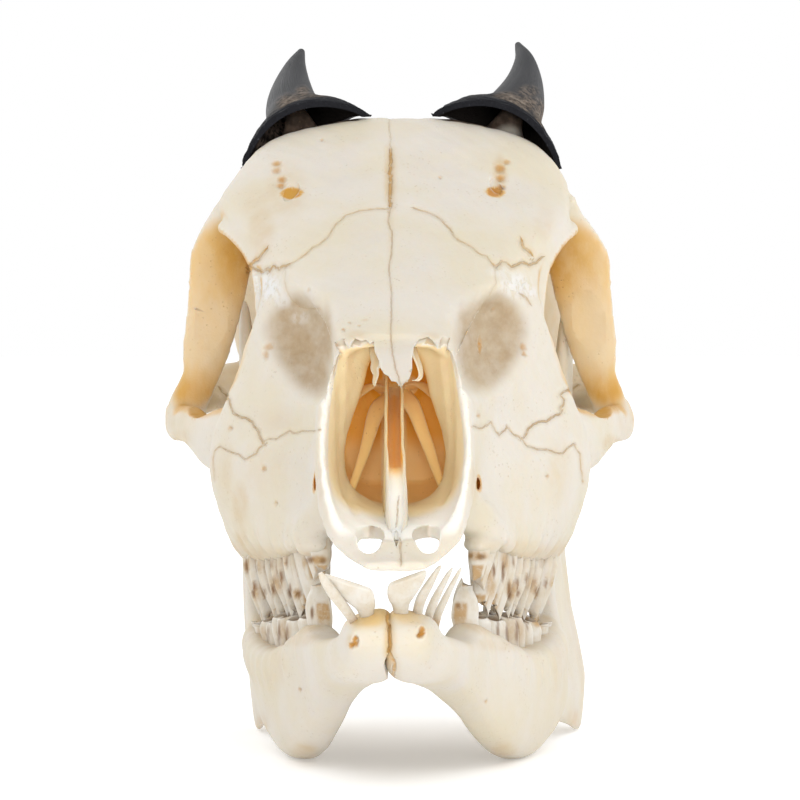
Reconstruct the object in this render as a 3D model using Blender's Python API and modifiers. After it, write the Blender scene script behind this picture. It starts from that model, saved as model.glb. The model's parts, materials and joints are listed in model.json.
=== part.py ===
"""A dry skull of a small forest antelope, a duiker, with its horn sheaths, teeth and lower jaw in place.

The muzzle points along -Y, the animal's left side is +X and the lower jaw rests on z = 0.
Shapes are drawn in millimetres, measured back from the tip of the muzzle and up from the ground,
and become metres, centred on the origin, when a mesh is made.
"""

import math

import bmesh
import bpy
import numpy as np
from mathutils import Matrix, Vector

# Driving dimensions, in millimetres
MM = 0.001
MUZZLE_Y = -80.2  # where the tip of the muzzle lies in the finished frame
CLEARANCE = 0.3  # gap between a tooth and its socket, and between the two halves of the lower jaw
SHEATH_CLEARANCE = 0.48  # gap between a horn sheath and the bone under it
FORM_VOXEL = 0.8
FINE_VOXEL = 0.65
RING_POINTS_PER_SPAN = 3
SHARP_ANGLE = math.radians(40)  # edges that turn more than this stay crisp
JAW_SHIFT = -1.5  # the lower jaw sits a little to one side at the front
JAW_YAW = 0.0205  # and swings the other way towards the back, in millimetres per millimetre
JAW_SWAY = 0.052  # its foot is bent to that side, in millimetres per millimetre below this height
JAW_SWAY_HEIGHT = 25
JAW_LENGTH = 110
CRANIUM_TRIANGLES = 3500
JAW_TRIANGLES = 500

# The named lines that run back along one side of the cranium: (y, x, z)
CROWN = [(0, 0, 31.8), (3, 0, 32.6), (7, 0, 35.4), (13, 0, 40.2), (21, 0, 46.6), (29, 0, 53.6),
         (37, 0, 60.8), (45, 0, 64.8), (60, 0, 71.5), (82, 0, 80.5), (95, 0, 86.3), (105, 0, 91.2),
         (113, 0, 94.2), (119, 0, 94.4), (126, 0, 92.2), (136, 0, 87), (145, 0, 80.5), (151, 0, 74),
         (156, 0, 66)]
ROOF_EDGE = [(0, 3, 31.8), (3, 5.3, 32.5), (7, 8.2, 35.2), (13, 9.9, 39.9), (21, 10.7, 46),
             (29, 10.5, 52.8), (37, 9.8, 59.3), (45, 10.8, 62.6), (60, 12.3, 68.6), (75, 15.5, 74.5),
             (85, 18.5, 78.6), (95, 20, 83), (105, 20.5, 88), (113, 19.5, 91), (119, 18, 91.2),
             (126, 16.5, 88.5), (136, 15.5, 83), (145, 13.5, 76.5), (151, 11, 70.5), (156, 6, 64)]
BROW = [(0, 4.3, 31.4), (3, 6, 32), (7, 9, 34.4), (13, 10.5, 38.5), (21, 11.2, 43.5), (29, 11.4, 49),
        (37, 11.5, 54.5), (47, 12.2, 58), (60, 14.6, 62.5), (70, 17.6, 66.5), (78, 20.4, 69.5),
        (85, 22.8, 73), (95, 26, 77.2), (103, 27.5, 79), (109, 25.5, 80.8), (115, 23.2, 81.3),
        (126, 23.4, 78.5), (136, 22.5, 74), (145, 19, 69.5), (151, 14.5, 65), (156, 8, 60)]
FLANK = [(0, 4.6, 31.2), (3, 6.4, 31.6), (7, 9.2, 33.4), (13, 10.9, 36.5), (21, 11.5, 40),
         (35, 11.9, 45), (47, 12.3, 48), (58, 15, 51.5), (68, 19.3, 55.5), (77, 22.6, 58),
         (84, 22.5, 59), (90, 17, 60), (98, 14.3, 62), (106, 16, 64), (114, 20, 66), (124, 25.2, 66),
         (134, 26.3, 63), (145, 22.5, 61), (151, 16.5, 59), (156, 9, 56.5)]
CHEEK = [(0, 4.6, 30.9), (7, 9, 32.6), (13, 10.6, 34.4), (21, 11.2, 36.6), (35, 11.7, 39.5),
         (47, 13.4, 40), (56, 17.8, 41), (66, 23.2, 41.3), (76, 27, 42.2), (83, 28.1, 42.6),
         (89, 24.2, 44), (94, 14.5, 49), (102, 11, 52), (110, 12.5, 53), (118, 18.5, 54.5),
         (128, 23, 54), (140, 21.8, 53), (150, 15, 53), (156, 8, 53)]
GUM = [(0, 3.7, 30.7), (7, 7, 31.7), (13, 8.6, 33.2), (21, 8.9, 34.2), (34, 9.2, 35),
       (41, 13.2, 33.4), (50, 15.5, 31.2), (58, 17.2, 29.6), (67, 19.7, 28.8), (78, 22.6, 28.5),
       (87, 23.6, 28.8), (91, 20, 33), (95, 12, 41), (104, 9, 45), (115, 10.5, 46), (126, 14.5, 45.5),
       (138, 14.5, 45), (147, 11, 46), (152, 8, 48), (156, 5, 50)]
PALATE = [(0, 2, 30.5), (7, 4, 31.8), (13, 5.2, 33.4), (21, 5.6, 34.6), (34, 5.8, 35.6),
          (42, 7.6, 34.4), (50, 8.6, 33.9), (65, 11.2, 33.2), (78, 13.6, 32.8), (87, 14.6, 33),
          (91, 12, 36.5), (95, 8, 41.5), (104, 5, 44.6), (126, 7.5, 44.6), (147, 6, 45.4),
          (152, 4.5, 48), (156, 3, 50.5)]
KEEL = [(0, 0, 30.5), (7, 0, 32), (13, 0, 33.6), (21, 0, 34.9), (34, 0, 36), (50, 0, 36.2),
        (65, 0, 36.2), (78, 0, 36.4), (87, 0, 37.2), (91, 0, 40), (95, 0, 43.2), (104, 0, 45.2),
        (126, 0, 44.8), (147, 0, 45.4), (152, 0, 48.2), (156, 0, 51)]
CRANIUM_LINES = (CROWN, ROOF_EDGE, BROW, FLANK, CHEEK, GUM, PALATE, KEEL)
CRANIUM_STATIONS = np.concatenate([np.linspace(0, 12, 5), np.linspace(15, 84, 24), np.linspace(86, 156, 30)])

# The hollow of the nose, from the open front inwards: (y, x, z)
NOSE_TOP = [(-6, 0, 45), (7, 0, 50), (21, 0, 60), (29, 0, 64), (36, 0, 62), (38, 0, 59.4), (45, 0, 61.6),
            (60, 0, 68), (70, 0, 66), (79, 0, 58)]
NOSE_SHOULDER = [(-6, 4, 45), (3, 4.2, 47), (7, 7, 50), (13, 8.8, 54), (21, 9.5, 60), (29, 9, 64),
                 (35, 7.4, 60), (40, 4.8, 57.4), (46, 4.6, 59), (60, 6.5, 65),
                 (70, 7, 63), (79, 5, 56)]
NOSE_WALL = [(-6, 4, 36), (3, 4.2, 36), (7, 7.3, 38), (13, 9, 40.5), (21, 9.5, 42.5), (30, 9, 43),
             (40, 8.6, 44), (60, 9, 47), (70, 8.4, 48), (79, 5.4, 50)]
NOSE_FLOOR = [(-6, 0, 34), (3, 0, 34.2), (7, 0, 34.6), (13, 0, 35.8), (21, 0, 37), (35, 0, 38.6),
              (60, 0, 39.8), (70, 0, 42), (79, 0, 46)]
NOSE_LINES = (NOSE_TOP, NOSE_SHOULDER, NOSE_WALL, NOSE_FLOOR)
THROAT = (0, 97, 40.2)  # where the air passage leaves the skull behind the palate
THROAT_RADII = (4.6, 14, 4.2)
THROAT_TILT = -8  # degrees about X

# The eye socket: its rim, seen on one side, and the ball-shaped hollow behind it
ORBIT_CENTRE = (29, 95.5, 62.5)
ORBIT_RADII = (15.4, 14.4, 13.6)
ORBIT_RIM = [(20.2, 80.6, 64), (21.2, 83.5, 71.5), (24.6, 91.5, 76), (28.4, 101, 75.8), (30.5, 107, 71.5),
             (31.4, 109.5, 64), (32.4, 109, 55), (31.6, 103.5, 49.4), (28, 93.5, 48), (23.6, 85, 52.8)]
ORBIT_RIM_RADIUS = 1.5

# Bars and arches that stand clear of the braincase: (x, y, z, half width, half thickness)
POSTORBITAL_BAR = [(22.8, 103.5, 80.2, 5, 2.2), (26.8, 108, 74.5, 5, 1.6), (28.2, 110.4, 67, 4.4, 1.4),
                   (29.8, 110.8, 59, 3.7, 1.4), (31.9, 110, 52, 3, 1.6), (33.4, 109, 47.5, 2.4, 1.8)]
ZYGOMATIC_ARCH = [(24.5, 83, 45.4, 5.6, 3), (28.2, 91.5, 45.6, 4.4, 2.2), (31.5, 102, 47.4, 3, 2.1),
                  (34, 111, 47.8, 3, 2), (33.6, 119, 49.4, 2.8, 1.8), (31.4, 126, 51.2, 2.8, 1.8),
                  (26, 131, 53.4, 3.2, 2.4)]
ARCH_KNOB = (34.2, 112.5, 47.4)
ARCH_KNOB_RADII = (2, 4.2, 2.8)

# Small parts of the base of the skull, each a ball: (x, y, z), (radii)
BASE_BALLS = {
    "jaw_joint": ((25, 126.5, 54.2), (6, 5, 2.8)),
    "ear_bulla": ((10.5, 129.5, 43.4), (4.4, 7, 5.4)),
    "ear_opening": ((21, 136, 50.5), (4, 3.6, 3.4)),
    "paroccipital_process": ((14.6, 146, 43.6), (2.2, 2.8, 7)),
    "occipital_condyle": ((7.4, 155.2, 52), (4, 4.6, 6)),
}
PTERYGOID = [(6.4, 88, 38, 4.6, 0.9), (6.2, 94, 39.4, 4.4, 0.9), (6, 101, 41.2, 3.6, 0.9),
             (6, 108, 43, 2.4, 0.9)]
NUCHAL_CREST = [(-22, 140.5, 57), (-21.3, 143.5, 62), (-17.2, 147, 68), (-12, 149.6, 71.8), (-6, 151, 73.6),
                (0, 151.5, 74.2), (6, 151, 73.6), (12, 149.6, 71.8), (17.2, 147, 68), (21.3, 143.5, 62),
                (22, 140.5, 57)]
NUCHAL_RADIUS = 1.7
FORAMEN_MAGNUM = (0, 158, 56.5)  # the hole for the spinal cord
FORAMEN_MAGNUM_RADII = (6.2, 14, 6.2)

# Thin bones inside and over the opening of the nose
NASAL_SPIKE = [(0, 22.5, 54.6, 0.9, 0.7), (0.2, 27, 56.6, 2, 0.75), (0.1, 32, 59, 3.4, 0.8),
               (0, 38, 61.6, 6.6, 0.9), (0, 44, 64.2, 8.6, 0.9)]
VOMER_HALF_GAP = 1.1
VOMER = [(13, 36.2, 34.8), (22, 40, 36), (34, 46, 37.4), (48, 53, 38.6), (62, 57, 39.4)]  # (y, top z, foot z)
VOMER_THICKNESS = 0.9
TURBINATE_STRUTS = [((2.6, 52, 57.5), (8.2, 44, 41.5)), ((3.4, 58, 58), (8.4, 52, 42.5))]
TURBINATE_RADIUS = 0.95
INCISIVE_FISSURE = (4.2, 8.4, 33.6)
INCISIVE_FISSURE_RADII = (2, 5.6, 4)
BROW_FORAMEN = (15.4, 89.5, 82.4)
BROW_FORAMEN_RADII = (1.2, 4, 2)
BROW_FORAMEN_TILT = 45
CHEEK_FORAMEN = (12, 45.5, 40.8)
CHEEK_FORAMEN_RADII = (3, 2.5, 1.5)

# Each horn's sheath runs along its own curve: (x, y, z, half width, half height)
HORN_LEFT = [(14.9, 113.8, 91.1, 9.8, 6.1), (15.2, 115.8, 91.8, 9.6, 6), (15.9, 119, 93, 7.6, 5.6),
             (16.9, 123, 94.8, 5.4, 4.9), (18.5, 128.5, 97.4, 4.3, 4.1), (19.9, 135.5, 101, 2.7, 2.7),
             (20.1, 142.5, 104.9, 1.4, 1.4), (19.2, 149, 108, 0.4, 0.4)]
HORN_RIGHT = [(-14.5, 113.8, 91, 9.8, 6.1), (-14.7, 115.8, 91.7, 9.6, 6), (-15, 119, 92.9, 7.6, 5.6),
              (-15.8, 123, 94.6, 5.4, 4.9), (-16.9, 128, 97, 4.2, 4), (-17.5, 135, 100.4, 2.6, 2.6),
              (-17.1, 142, 104, 1.3, 1.3), (-16.2, 148.5, 106.9, 0.4, 0.4)]
HORN_CORE_SHARE = 0.72  # the bone core's radius beside the sheath's
HORN_CORE_LESS = (1, 0.6)  # taken off that half width and half height, so that the sheath stands clear
HORN_CORE_ROOT = [(-6, -4.5, 6.4, 5), (-1, -2, 6.6, 5.2)]  # (back, up, half width, half height) from the rim
HORN_RIM_TILT = math.radians(23)  # the rim follows the slope of the frontal bone
HORN_SIDES = 12
SHEATH_WALL = 1.0
SHEATH_MOUTH = (-3, -1.2)  # the hollow runs this far forward and down out of the rim

# One half of the lower jaw, as slabs across its length: (y, foot x, foot z, top x, top z, half thickness)
JAW = [(2.8, 2.3, 20.6, 2.5, 23.6, 2.6), (5, 2.4, 18.6, 2.6, 24, 3.4), (9, 2.5, 16.6, 2.9, 23.6, 3.7),
       (14, 2.8, 14.8, 3.4, 22.2, 3.7), (20, 3.8, 14.2, 4.7, 21, 3.2), (28, 6, 12.6, 7, 20, 2.6),
       (36, 8, 9.8, 9.2, 20, 2.7), (42, 9.6, 7, 10.8, 21.2, 3), (50, 11.8, 3.6, 13.2, 19.6, 3.5),
       (58, 13.4, 1.2, 15.6, 18.2, 3.6), (66, 14.5, 0.05, 17.6, 17.4, 3.7), (73, 15.5, 0.1, 19, 17.2, 3.9),
       (80, 16.8, 1.1, 20.2, 17.6, 3.9), (88, 18.6, 2.6, 21.1, 18.6, 3.4), (96, 20.4, 3, 21.8, 21.6, 2.5),
       (103, 22, 2.2, 22.8, 34, 2), (108, 23.1, 1.2, 23.8, 50, 1.7), (112, 23.7, 0.4, 24.5, 62, 1.5),
       (115.5, 24.1, 0.05, 25, 66.5, 1.3), (118, 24.2, 0.2, 25.1, 62, 1.3), (120, 24.2, 0.7, 25.1, 53, 1.4),
       (122.5, 24.2, 2, 25, 49.2, 1.8), (126, 24.2, 5, 25, 49.8, 2.3), (129, 24.2, 11, 25, 48.4, 2.1),
       (131.5, 24.3, 21, 25, 43, 1.4)]
JAW_DISH = 1  # the broad back part is dished on its outer face
JAW_DISH_FROM = 94
JAW_DISH_RAMP = 10
JAW_SQUARE_UP = 5  # how square the slab's cross-section is, along its height and through its thickness
JAW_SQUARE_OUT = 2.4
JAW_SIDES = 16
CONDYLE = (24, 126.4, 48)
CONDYLE_RADII = (4.4, 2.7, 1.9)
SYMPHYSIS_BLOCK = (12, 30, 30)  # width, length and height of the block that trims each half flat
SYMPHYSIS_FROM = (-5, 5)  # where the block begins: back, up

# Cheek teeth. Each line runs back along the row, (y, value). Each tooth is (name, front, back, width)
UPPER_CHEEK_LINE = [(40, 13), (50, 15.4), (57, 17.4), (65, 19.4), (72, 21), (80, 23.2), (89, 24.2)]
UPPER_GUM = [(40, 33.2), (50, 31), (57, 29.5), (65, 28.7), (75, 28.2), (89, 28.2)]
UPPER_TIP = [(40, 28), (44, 26), (50, 22.4), (60, 22.4), (70, 21.5), (80, 20), (89, 19.8)]
LOWER_GUM = [(40, 21.6), (50, 19.8), (60, 18.3), (70, 17.4), (80, 17.7), (90, 19.2)]
UPPER_TEETH = [("premolar_2", 40.4, 45.8, 4.2), ("premolar_3", 46.2, 52.2, 5.4),
               ("premolar_4", 52.6, 58.4, 6.6), ("molar_1", 58.8, 67.2, 7.6), ("molar_2", 67.6, 76.8, 8.4),
               ("molar_3", 77.2, 86.6, 8.2)]
LOWER_TEETH = [("premolar_2", 41, 45.8, 2.8), ("premolar_3", 46.2, 52.2, 3.6),
               ("premolar_4", 52.6, 59.6, 4.2), ("molar_1", 60, 68.6, 4.8), ("molar_2", 69, 78.4, 5),
               ("molar_3", 78.8, 89.4, 5)]
CUSP_PLACE = 0.55  # where a crown's two cusps stand, as a share of half its length
TOOTH_OUTLINE = [(-1, -0.55), (-1, 0.55), (-CUSP_PLACE, 1), (0, 0.85), (CUSP_PLACE, 1), (1, 0.55), (1, -0.55),
                 (CUSP_PLACE, -1), (0, -0.85), (-CUSP_PLACE, -1)]
TOOTH_ROOT = 4.2
ROOT_SHARE, GUM_SHARE, TIP_SHARE = 0.6, 0.97, 0.9  # a tooth's width at its root, gum and tip
LOWER_INSET = 1.4  # the lower row closes this far inside the upper one
BITE_SLOPE = 0.5  # the chewing surfaces fall away towards the cheek
BITE_GAP = 0.5
CUSP_DEPTH = 0.9  # how far the edge of a crown dips between its cusps

# Front teeth, from the root to the tip: (x, y, z, half width, half thickness)
FRONT_TEETH = {
    "incisor_1_right": [(-3.8, 12, 19.4, 0.9, 0.9), (-4.3, 7.6, 23.4, 1.2, 1.1), (-5.1, 4.6, 25.9, 1.9, 1.1),
                        (-6.9, 2.6, 28.8, 2.7, 0.8), (-7.6, 1.9, 29.9, 2.5, 0.4)],
    "incisor_2_right": [(-6, 14, 19.6, 0.8, 0.8), (-6.5, 9.6, 22.4, 1, 0.9), (-8.6, 6.4, 26, 1.1, 0.8),
                        (-10.4, 4.4, 29.2, 0.9, 0.6), (-10.9, 3.9, 30.2, 0.5, 0.4)],
    "incisor_1_left": [(-0.2, 12, 19.4, 0.9, 0.9), (0.1, 7.6, 23.4, 1.1, 1.1), (0.5, 4.6, 26, 1.8, 1.1),
                       (1.2, 2.6, 28.6, 2.6, 0.8), (1.6, 1.9, 29.7, 2.5, 0.4)],
    "incisor_2_left": [(1.6, 13.6, 19.5, 0.8, 0.8), (2.3, 9, 23, 1, 0.9), (3.5, 6.2, 26, 1.1, 0.8),
                       (5.1, 4.1, 29.4, 1, 0.6), (5.4, 3.6, 30.5, 0.7, 0.4)],
    "incisor_3_left": [(3.4, 15, 19.3, 0.7, 0.8), (4.2, 11, 22.6, 0.9, 0.8), (5.1, 8.2, 25.6, 0.9, 0.8),
                       (6.7, 6.3, 28.9, 0.9, 0.6), (7, 5.9, 29.9, 0.6, 0.4)],
    "canine_left": [(4.9, 17, 18.8, 0.7, 0.7), (5.8, 13, 22, 0.8, 0.8), (6.7, 10.4, 25, 0.8, 0.7),
                    (8, 8.7, 28.2, 0.7, 0.6), (8.2, 8.3, 29.2, 0.5, 0.4)],
}


def clear_scene():
    for obj in list(bpy.data.objects):
        bpy.data.objects.remove(obj, do_unlink=True)


def collection(name, is_helper=False):
    made = bpy.data.collections.new(name)
    made.hide_render = is_helper
    bpy.context.scene.collection.children.link(made)
    return made


def bone_material(name, colour, roughness):
    material = bpy.data.materials.new(name)
    material.use_nodes = True
    shader = material.node_tree.nodes["Principled BSDF"]
    shader.inputs["Base Color"].default_value = (*colour, 1)
    shader.inputs["Roughness"].default_value = roughness
    shader.inputs["Metallic"].default_value = 0
    return material


def along(line, at):
    """The smooth values of a line of rows (position, value, ...) at the given positions."""
    table = np.array(line, float)
    knots, values = table[:, 0], table[:, 1:]
    slopes = np.gradient(values, knots, axis=0)
    at = np.clip(np.atleast_1d(at), knots[0], knots[-1])
    i = np.clip(np.searchsorted(knots, at, side="right") - 1, 0, len(knots) - 2)
    width = (knots[i + 1] - knots[i])[:, None]
    t = (at - knots[i])[:, None] / width
    return ((2 * t**3 - 3 * t**2 + 1) * values[i] + (t**3 - 2 * t**2 + t) * width * slopes[i]
            + (3 * t**2 - 2 * t**3) * values[i + 1] + (t**3 - t**2) * width * slopes[i + 1])


def value_along(line, at):
    return float(along(line, at)[0, 0])


def smooth_loop(points, per_span):
    """A closed smooth curve through the points, as an array of points."""
    points = np.array(points, float)
    before, after, second = np.roll(points, 1, 0), np.roll(points, -1, 0), np.roll(points, -2, 0)
    t = np.arange(per_span)[None, :, None] / per_span
    p0, p1, p2, p3 = (p[:, None, :] for p in (before, points, after, second))
    curve = 0.5 * (2 * p1 + (p2 - p0) * t + (2 * p0 - 5 * p1 + 4 * p2 - p3) * t**2
                   + (3 * p1 - p0 - 3 * p2 + p3) * t**3)
    return curve.reshape(-1, points.shape[1])


def smooth_path(points, count):
    """An open smooth curve through the points, evenly spaced by their number."""
    rows = [(i, *point) for i, point in enumerate(points)]
    return along(rows, np.linspace(0, len(points) - 1, count))


def lay_in(points):
    """Millimetres back from the muzzle to metres in the finished frame."""
    return (np.array(points, float) + (0, MUZZLE_Y, 0)) * MM


def mesh_object(name, bm, home):
    bmesh.ops.recalc_face_normals(bm, faces=bm.faces)
    mesh = bpy.data.meshes.new(name)
    bm.to_mesh(mesh)
    bm.free()
    obj = bpy.data.objects.new(name, mesh)
    home.objects.link(obj)
    return obj


def loft(name, rings, home):
    """A closed skin over rings that hold the same number of points, with flat ends."""
    bm = bmesh.new()
    rows = [[bm.verts.new(point) for point in lay_in(ring)] for ring in rings]
    for near, far in zip(rows, rows[1:]):
        for i in range(len(near)):
            j = (i + 1) % len(near)
            bm.faces.new((near[i], near[j], far[j], far[i]))
    for end in (rows[0], rows[-1]):
        bmesh.ops.triangulate(bm, faces=[bm.faces.new(end)])
    return mesh_object(name, bm, home)


def section_loft(name, lines, stations, home):
    """A body that is the same on both sides, drawn by lines that run along it from the crown to the keel."""
    rings = []
    for y in stations:
        half = [along(line, y)[0] for line in lines]
        outline = half + [(-x, z) for x, z in half[-2:0:-1]]
        rings.append([(x, y, z) for x, z in smooth_loop(outline, RING_POINTS_PER_SPAN)])
    return loft(name, rings, home)


def ribbon(name, rows, wide, home, side=1, sides=10, per_row=3):
    """A bar with an oval section along a smooth path of (x, y, z, half width, half thickness)."""
    path = smooth_path([(side * x, *rest) for x, *rest in rows], per_row * len(rows))
    rings = []
    for i, (x, y, z, half_width, half_thickness) in enumerate(path):
        run = Vector(path[min(i + 1, len(path) - 1)][:3] - path[max(i - 1, 0)][:3]).normalized()
        across = (Vector(wide) - run * Vector(wide).dot(run)).normalized()
        rings.append(oval((x, y, z), across * half_width, run.cross(across) * half_thickness, sides))
    return loft(name, rings, home)


def oval(centre, half_width, half_height, sides):
    """The points of an oval round a centre, from its two half axes."""
    turns = [math.tau * i / sides for i in range(sides)]
    return [Vector(centre) + half_width * math.cos(a) + half_height * math.sin(a) for a in turns]


def tube(name, points, radius, home, closed=False):
    """A round tube along a smooth curve, as a closed mesh."""
    curve = bpy.data.curves.new(name, "CURVE")
    curve.dimensions = "3D"
    curve.bevel_depth = radius * MM
    curve.bevel_resolution = 2
    curve.use_fill_caps = True
    path = smooth_loop(points, 4) if closed else smooth_path(points, 3 * len(points))
    spline = curve.splines.new("POLY")
    spline.points.add(len(path) - 1)
    for point, place in zip(spline.points, lay_in(path)):
        point.co = (*place, 1)
    spline.use_cyclic_u = closed
    guide = bpy.data.objects.new(name, curve)
    home.objects.link(guide)
    made = baked(guide, home)
    bpy.data.objects.remove(guide)
    return made


def ball(name, centre, radii, home, side=1, turn=0, segments=20):
    """An oval ball, turned about X by an angle in degrees."""
    bm = bmesh.new()
    bmesh.ops.create_uvsphere(bm, u_segments=segments, v_segments=segments // 2, radius=1)
    place = Matrix.Translation(lay_in([(side * centre[0], centre[1], centre[2])])[0])
    size = Matrix.Diagonal((*(r * MM for r in radii), 1))
    bmesh.ops.transform(bm, matrix=place @ Matrix.Rotation(math.radians(turn), 4, "X") @ size, verts=bm.verts)
    return mesh_object(name, bm, home)


def baked(obj, home):
    """A new object that holds the mesh as its modifiers leave it."""
    graph = bpy.context.evaluated_depsgraph_get()
    mesh = bpy.data.meshes.new_from_object(obj.evaluated_get(graph))
    bm = bmesh.new()
    bm.from_mesh(mesh)
    bmesh.ops.remove_doubles(bm, verts=bm.verts, dist=1e-6)
    bmesh.ops.recalc_face_normals(bm, faces=bm.faces)
    bm.to_mesh(mesh)
    bm.free()
    made = bpy.data.objects.new(obj.name, mesh)
    home.objects.link(made)
    return made


def fused(name, pieces, voxel, smooth_steps, home):
    """Overlapping pieces grown into one body: joined, remeshed in small cells and smoothed."""
    bm = bmesh.new()
    for piece in pieces:
        bm.from_mesh(piece.data)
        bpy.data.objects.remove(piece)
    whole = mesh_object(name, bm, home)
    remesh = whole.modifiers.new("grow together", "REMESH")
    remesh.mode = "VOXEL"
    remesh.voxel_size = voxel * MM
    soften = whole.modifiers.new("soften", "SMOOTH")
    soften.iterations = smooth_steps
    made = baked(whole, home)
    bpy.data.objects.remove(whole)
    made.name = name
    return made


def cut(target, cutters, home):
    """The target with every cutter taken out of it."""
    for cutter in cutters:
        cutter.display_type = "WIRE"
        cutter.hide_render = True
        away = target.modifiers.new("cut " + cutter.name, "BOOLEAN")
        away.operation = "DIFFERENCE"
        away.object = cutter
    name = target.name
    made = baked(target, home)
    bpy.data.objects.remove(target)
    made.name = name
    drop_crumbs(made)
    return made


def drop_crumbs(obj):
    """Keeps the largest body of a mesh: a cut can leave a splinter beside a socket."""
    bm = bmesh.new()
    bm.from_mesh(obj.data)
    bodies, seen = [], set()
    for start in bm.verts:
        if start in seen:
            continue
        body, edge = {start}, [start]
        while edge:
            near = [e.other_vert(v) for v in edge for e in v.link_edges]
            edge = list({v for v in near if v not in body})
            body.update(edge)
        seen |= body
        bodies.append(body)
    largest = max(bodies, key=len)
    bmesh.ops.delete(bm, geom=[v for v in bm.verts if v not in largest], context="VERTS")
    bm.to_mesh(obj.data)
    bm.free()


def thinned(target, triangles, home):
    """The target with no more than this many triangles."""
    target.data.calc_loop_triangles()
    decimate = target.modifiers.new("thin out", "DECIMATE")
    decimate.ratio = min(1.0, triangles / len(target.data.loop_triangles))
    decimate.use_collapse_triangulate = True
    name = target.name
    made = baked(target, home)
    bpy.data.objects.remove(target)
    made.name = name
    return made


def finish(obj, material):
    obj.data.materials.clear()
    obj.data.materials.append(material)
    obj.data.shade_smooth()
    obj.data.set_sharp_from_angle(angle=SHARP_ANGLE)


def cranium_mass(home, cutters):
    """The solid head, then the sockets, the nose and the hole for the spinal cord taken out of it."""
    mass = section_loft("cranium_mass", CRANIUM_LINES, CRANIUM_STATIONS, home)
    mass = fused("cranium_mass", [mass], FORM_VOXEL, 3, home)
    holes = [section_loft("nose", NOSE_LINES, np.linspace(-6, 79, 40), cutters),
             ball("throat", THROAT, THROAT_RADII, cutters, turn=THROAT_TILT),
             ball("foramen_magnum", FORAMEN_MAGNUM, FORAMEN_MAGNUM_RADII, cutters)]
    holes += [ball("orbit", ORBIT_CENTRE, ORBIT_RADII, cutters, side=side) for side in (1, -1)]
    return cut(mass, holes, home)


def cranium_additions(home):
    """The rims, bars, arches, thin plates and knobs that stand out from the solid head."""
    pieces = []
    for side in (1, -1):
        rim = [(side * x, y, z) for x, y, z in ORBIT_RIM]
        pieces.append(tube("orbit_rim", rim, ORBIT_RIM_RADIUS, home, closed=True))
        pieces.append(ribbon("postorbital_bar", POSTORBITAL_BAR, (1, 0, 0), home, side))
        pieces.append(ribbon("zygomatic_arch", ZYGOMATIC_ARCH, (0, 0, 1), home, side))
        pieces.append(ball("arch_knob", ARCH_KNOB, ARCH_KNOB_RADII, home, side))
        pieces.append(ribbon("pterygoid", PTERYGOID, (0, 0, 1), home, side))
        for name, (centre, radii) in BASE_BALLS.items():
            pieces.append(ball(name, centre, radii, home, side))
        pieces.append(vomer_plate(side * VOMER_HALF_GAP, home))
        for start, end in TURBINATE_STRUTS:
            ends = [(side * x, y, z) for x, y, z in (start, end)]
            pieces.append(tube("turbinate_strut", ends, TURBINATE_RADIUS, home))
    for horn in (HORN_LEFT, HORN_RIGHT):
        pieces.append(horn_core(horn, home))
    pieces.append(ribbon("nasal_spike", NASAL_SPIKE, (1, 0, 0), home))
    pieces.append(tube("nuchal_crest", NUCHAL_CREST, NUCHAL_RADIUS, home))
    return pieces


def vomer_plate(x, home):
    """One of the two upright plates that stand side by side along the floor of the nose."""
    half = VOMER_THICKNESS / 2
    rings = [[(x - half, y, foot - 1), (x + half, y, foot - 1), (x + half, y, top), (x - half, y, top)]
             for y, top, foot in VOMER]
    return loft("vomer", rings, home)


def horn_rings(horn):
    """Ovals along a horn. The first ones lie in the slope of the forehead."""
    path = smooth_path(horn, 2 * len(horn))
    slope = math.copysign(HORN_RIM_TILT, horn[0][0])
    rings = []
    for i, (x, y, z, half_width, half_height) in enumerate(path):
        run = Vector(path[min(i + 1, len(path) - 1)][:3] - path[max(i - 1, 0)][:3]).normalized()
        across = Vector((math.cos(slope), 0, -math.sin(slope)))
        across = (across - run * across.dot(run)).normalized()
        rings.append(oval((x, y, z), across * half_width, run.cross(across) * half_height, HORN_SIDES))
    return rings


def horn_core(horn, home):
    """The bone inside a horn, from well within the forehead to two thirds of the horn's length."""
    x, y, z = horn[1][:3]
    root = [(x, y + back, z + up, width, height) for back, up, width, height in HORN_CORE_ROOT]
    less_width, less_height = HORN_CORE_LESS
    core = [(x, y, z, width * HORN_CORE_SHARE - less_width, height * HORN_CORE_SHARE - less_height)
            for x, y, z, width, height in horn[2:5]]
    return loft("horn_core", horn_rings(root + core), home)


def cranium(home, cutters):
    bone = fused("cranium", [cranium_mass(home, cutters), *cranium_additions(home)], FINE_VOXEL, 3, home)
    holes = []
    for side in (1, -1):
        holes.append(ball("incisive_fissure", INCISIVE_FISSURE, INCISIVE_FISSURE_RADII, cutters, side, 0, 12))
        holes.append(ball("brow_foramen", BROW_FORAMEN, BROW_FORAMEN_RADII, cutters, side,
                          BROW_FORAMEN_TILT, 8))
        holes.append(ball("cheek_foramen", CHEEK_FORAMEN, CHEEK_FORAMEN_RADII, cutters, side, 0, 8))
    return cut(thinned(bone, CRANIUM_TRIANGLES, home), holes, home)


def jaw_place(point, side):
    """A point of the left half of the lower jaw, moved to its side and swung as the jaw rests."""
    x, y, z = point
    sway = JAW_SWAY * max(0, JAW_SWAY_HEIGHT - z) * y / JAW_LENGTH
    return (side * x + JAW_SHIFT + JAW_YAW * y + sway, y, z)


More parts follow.
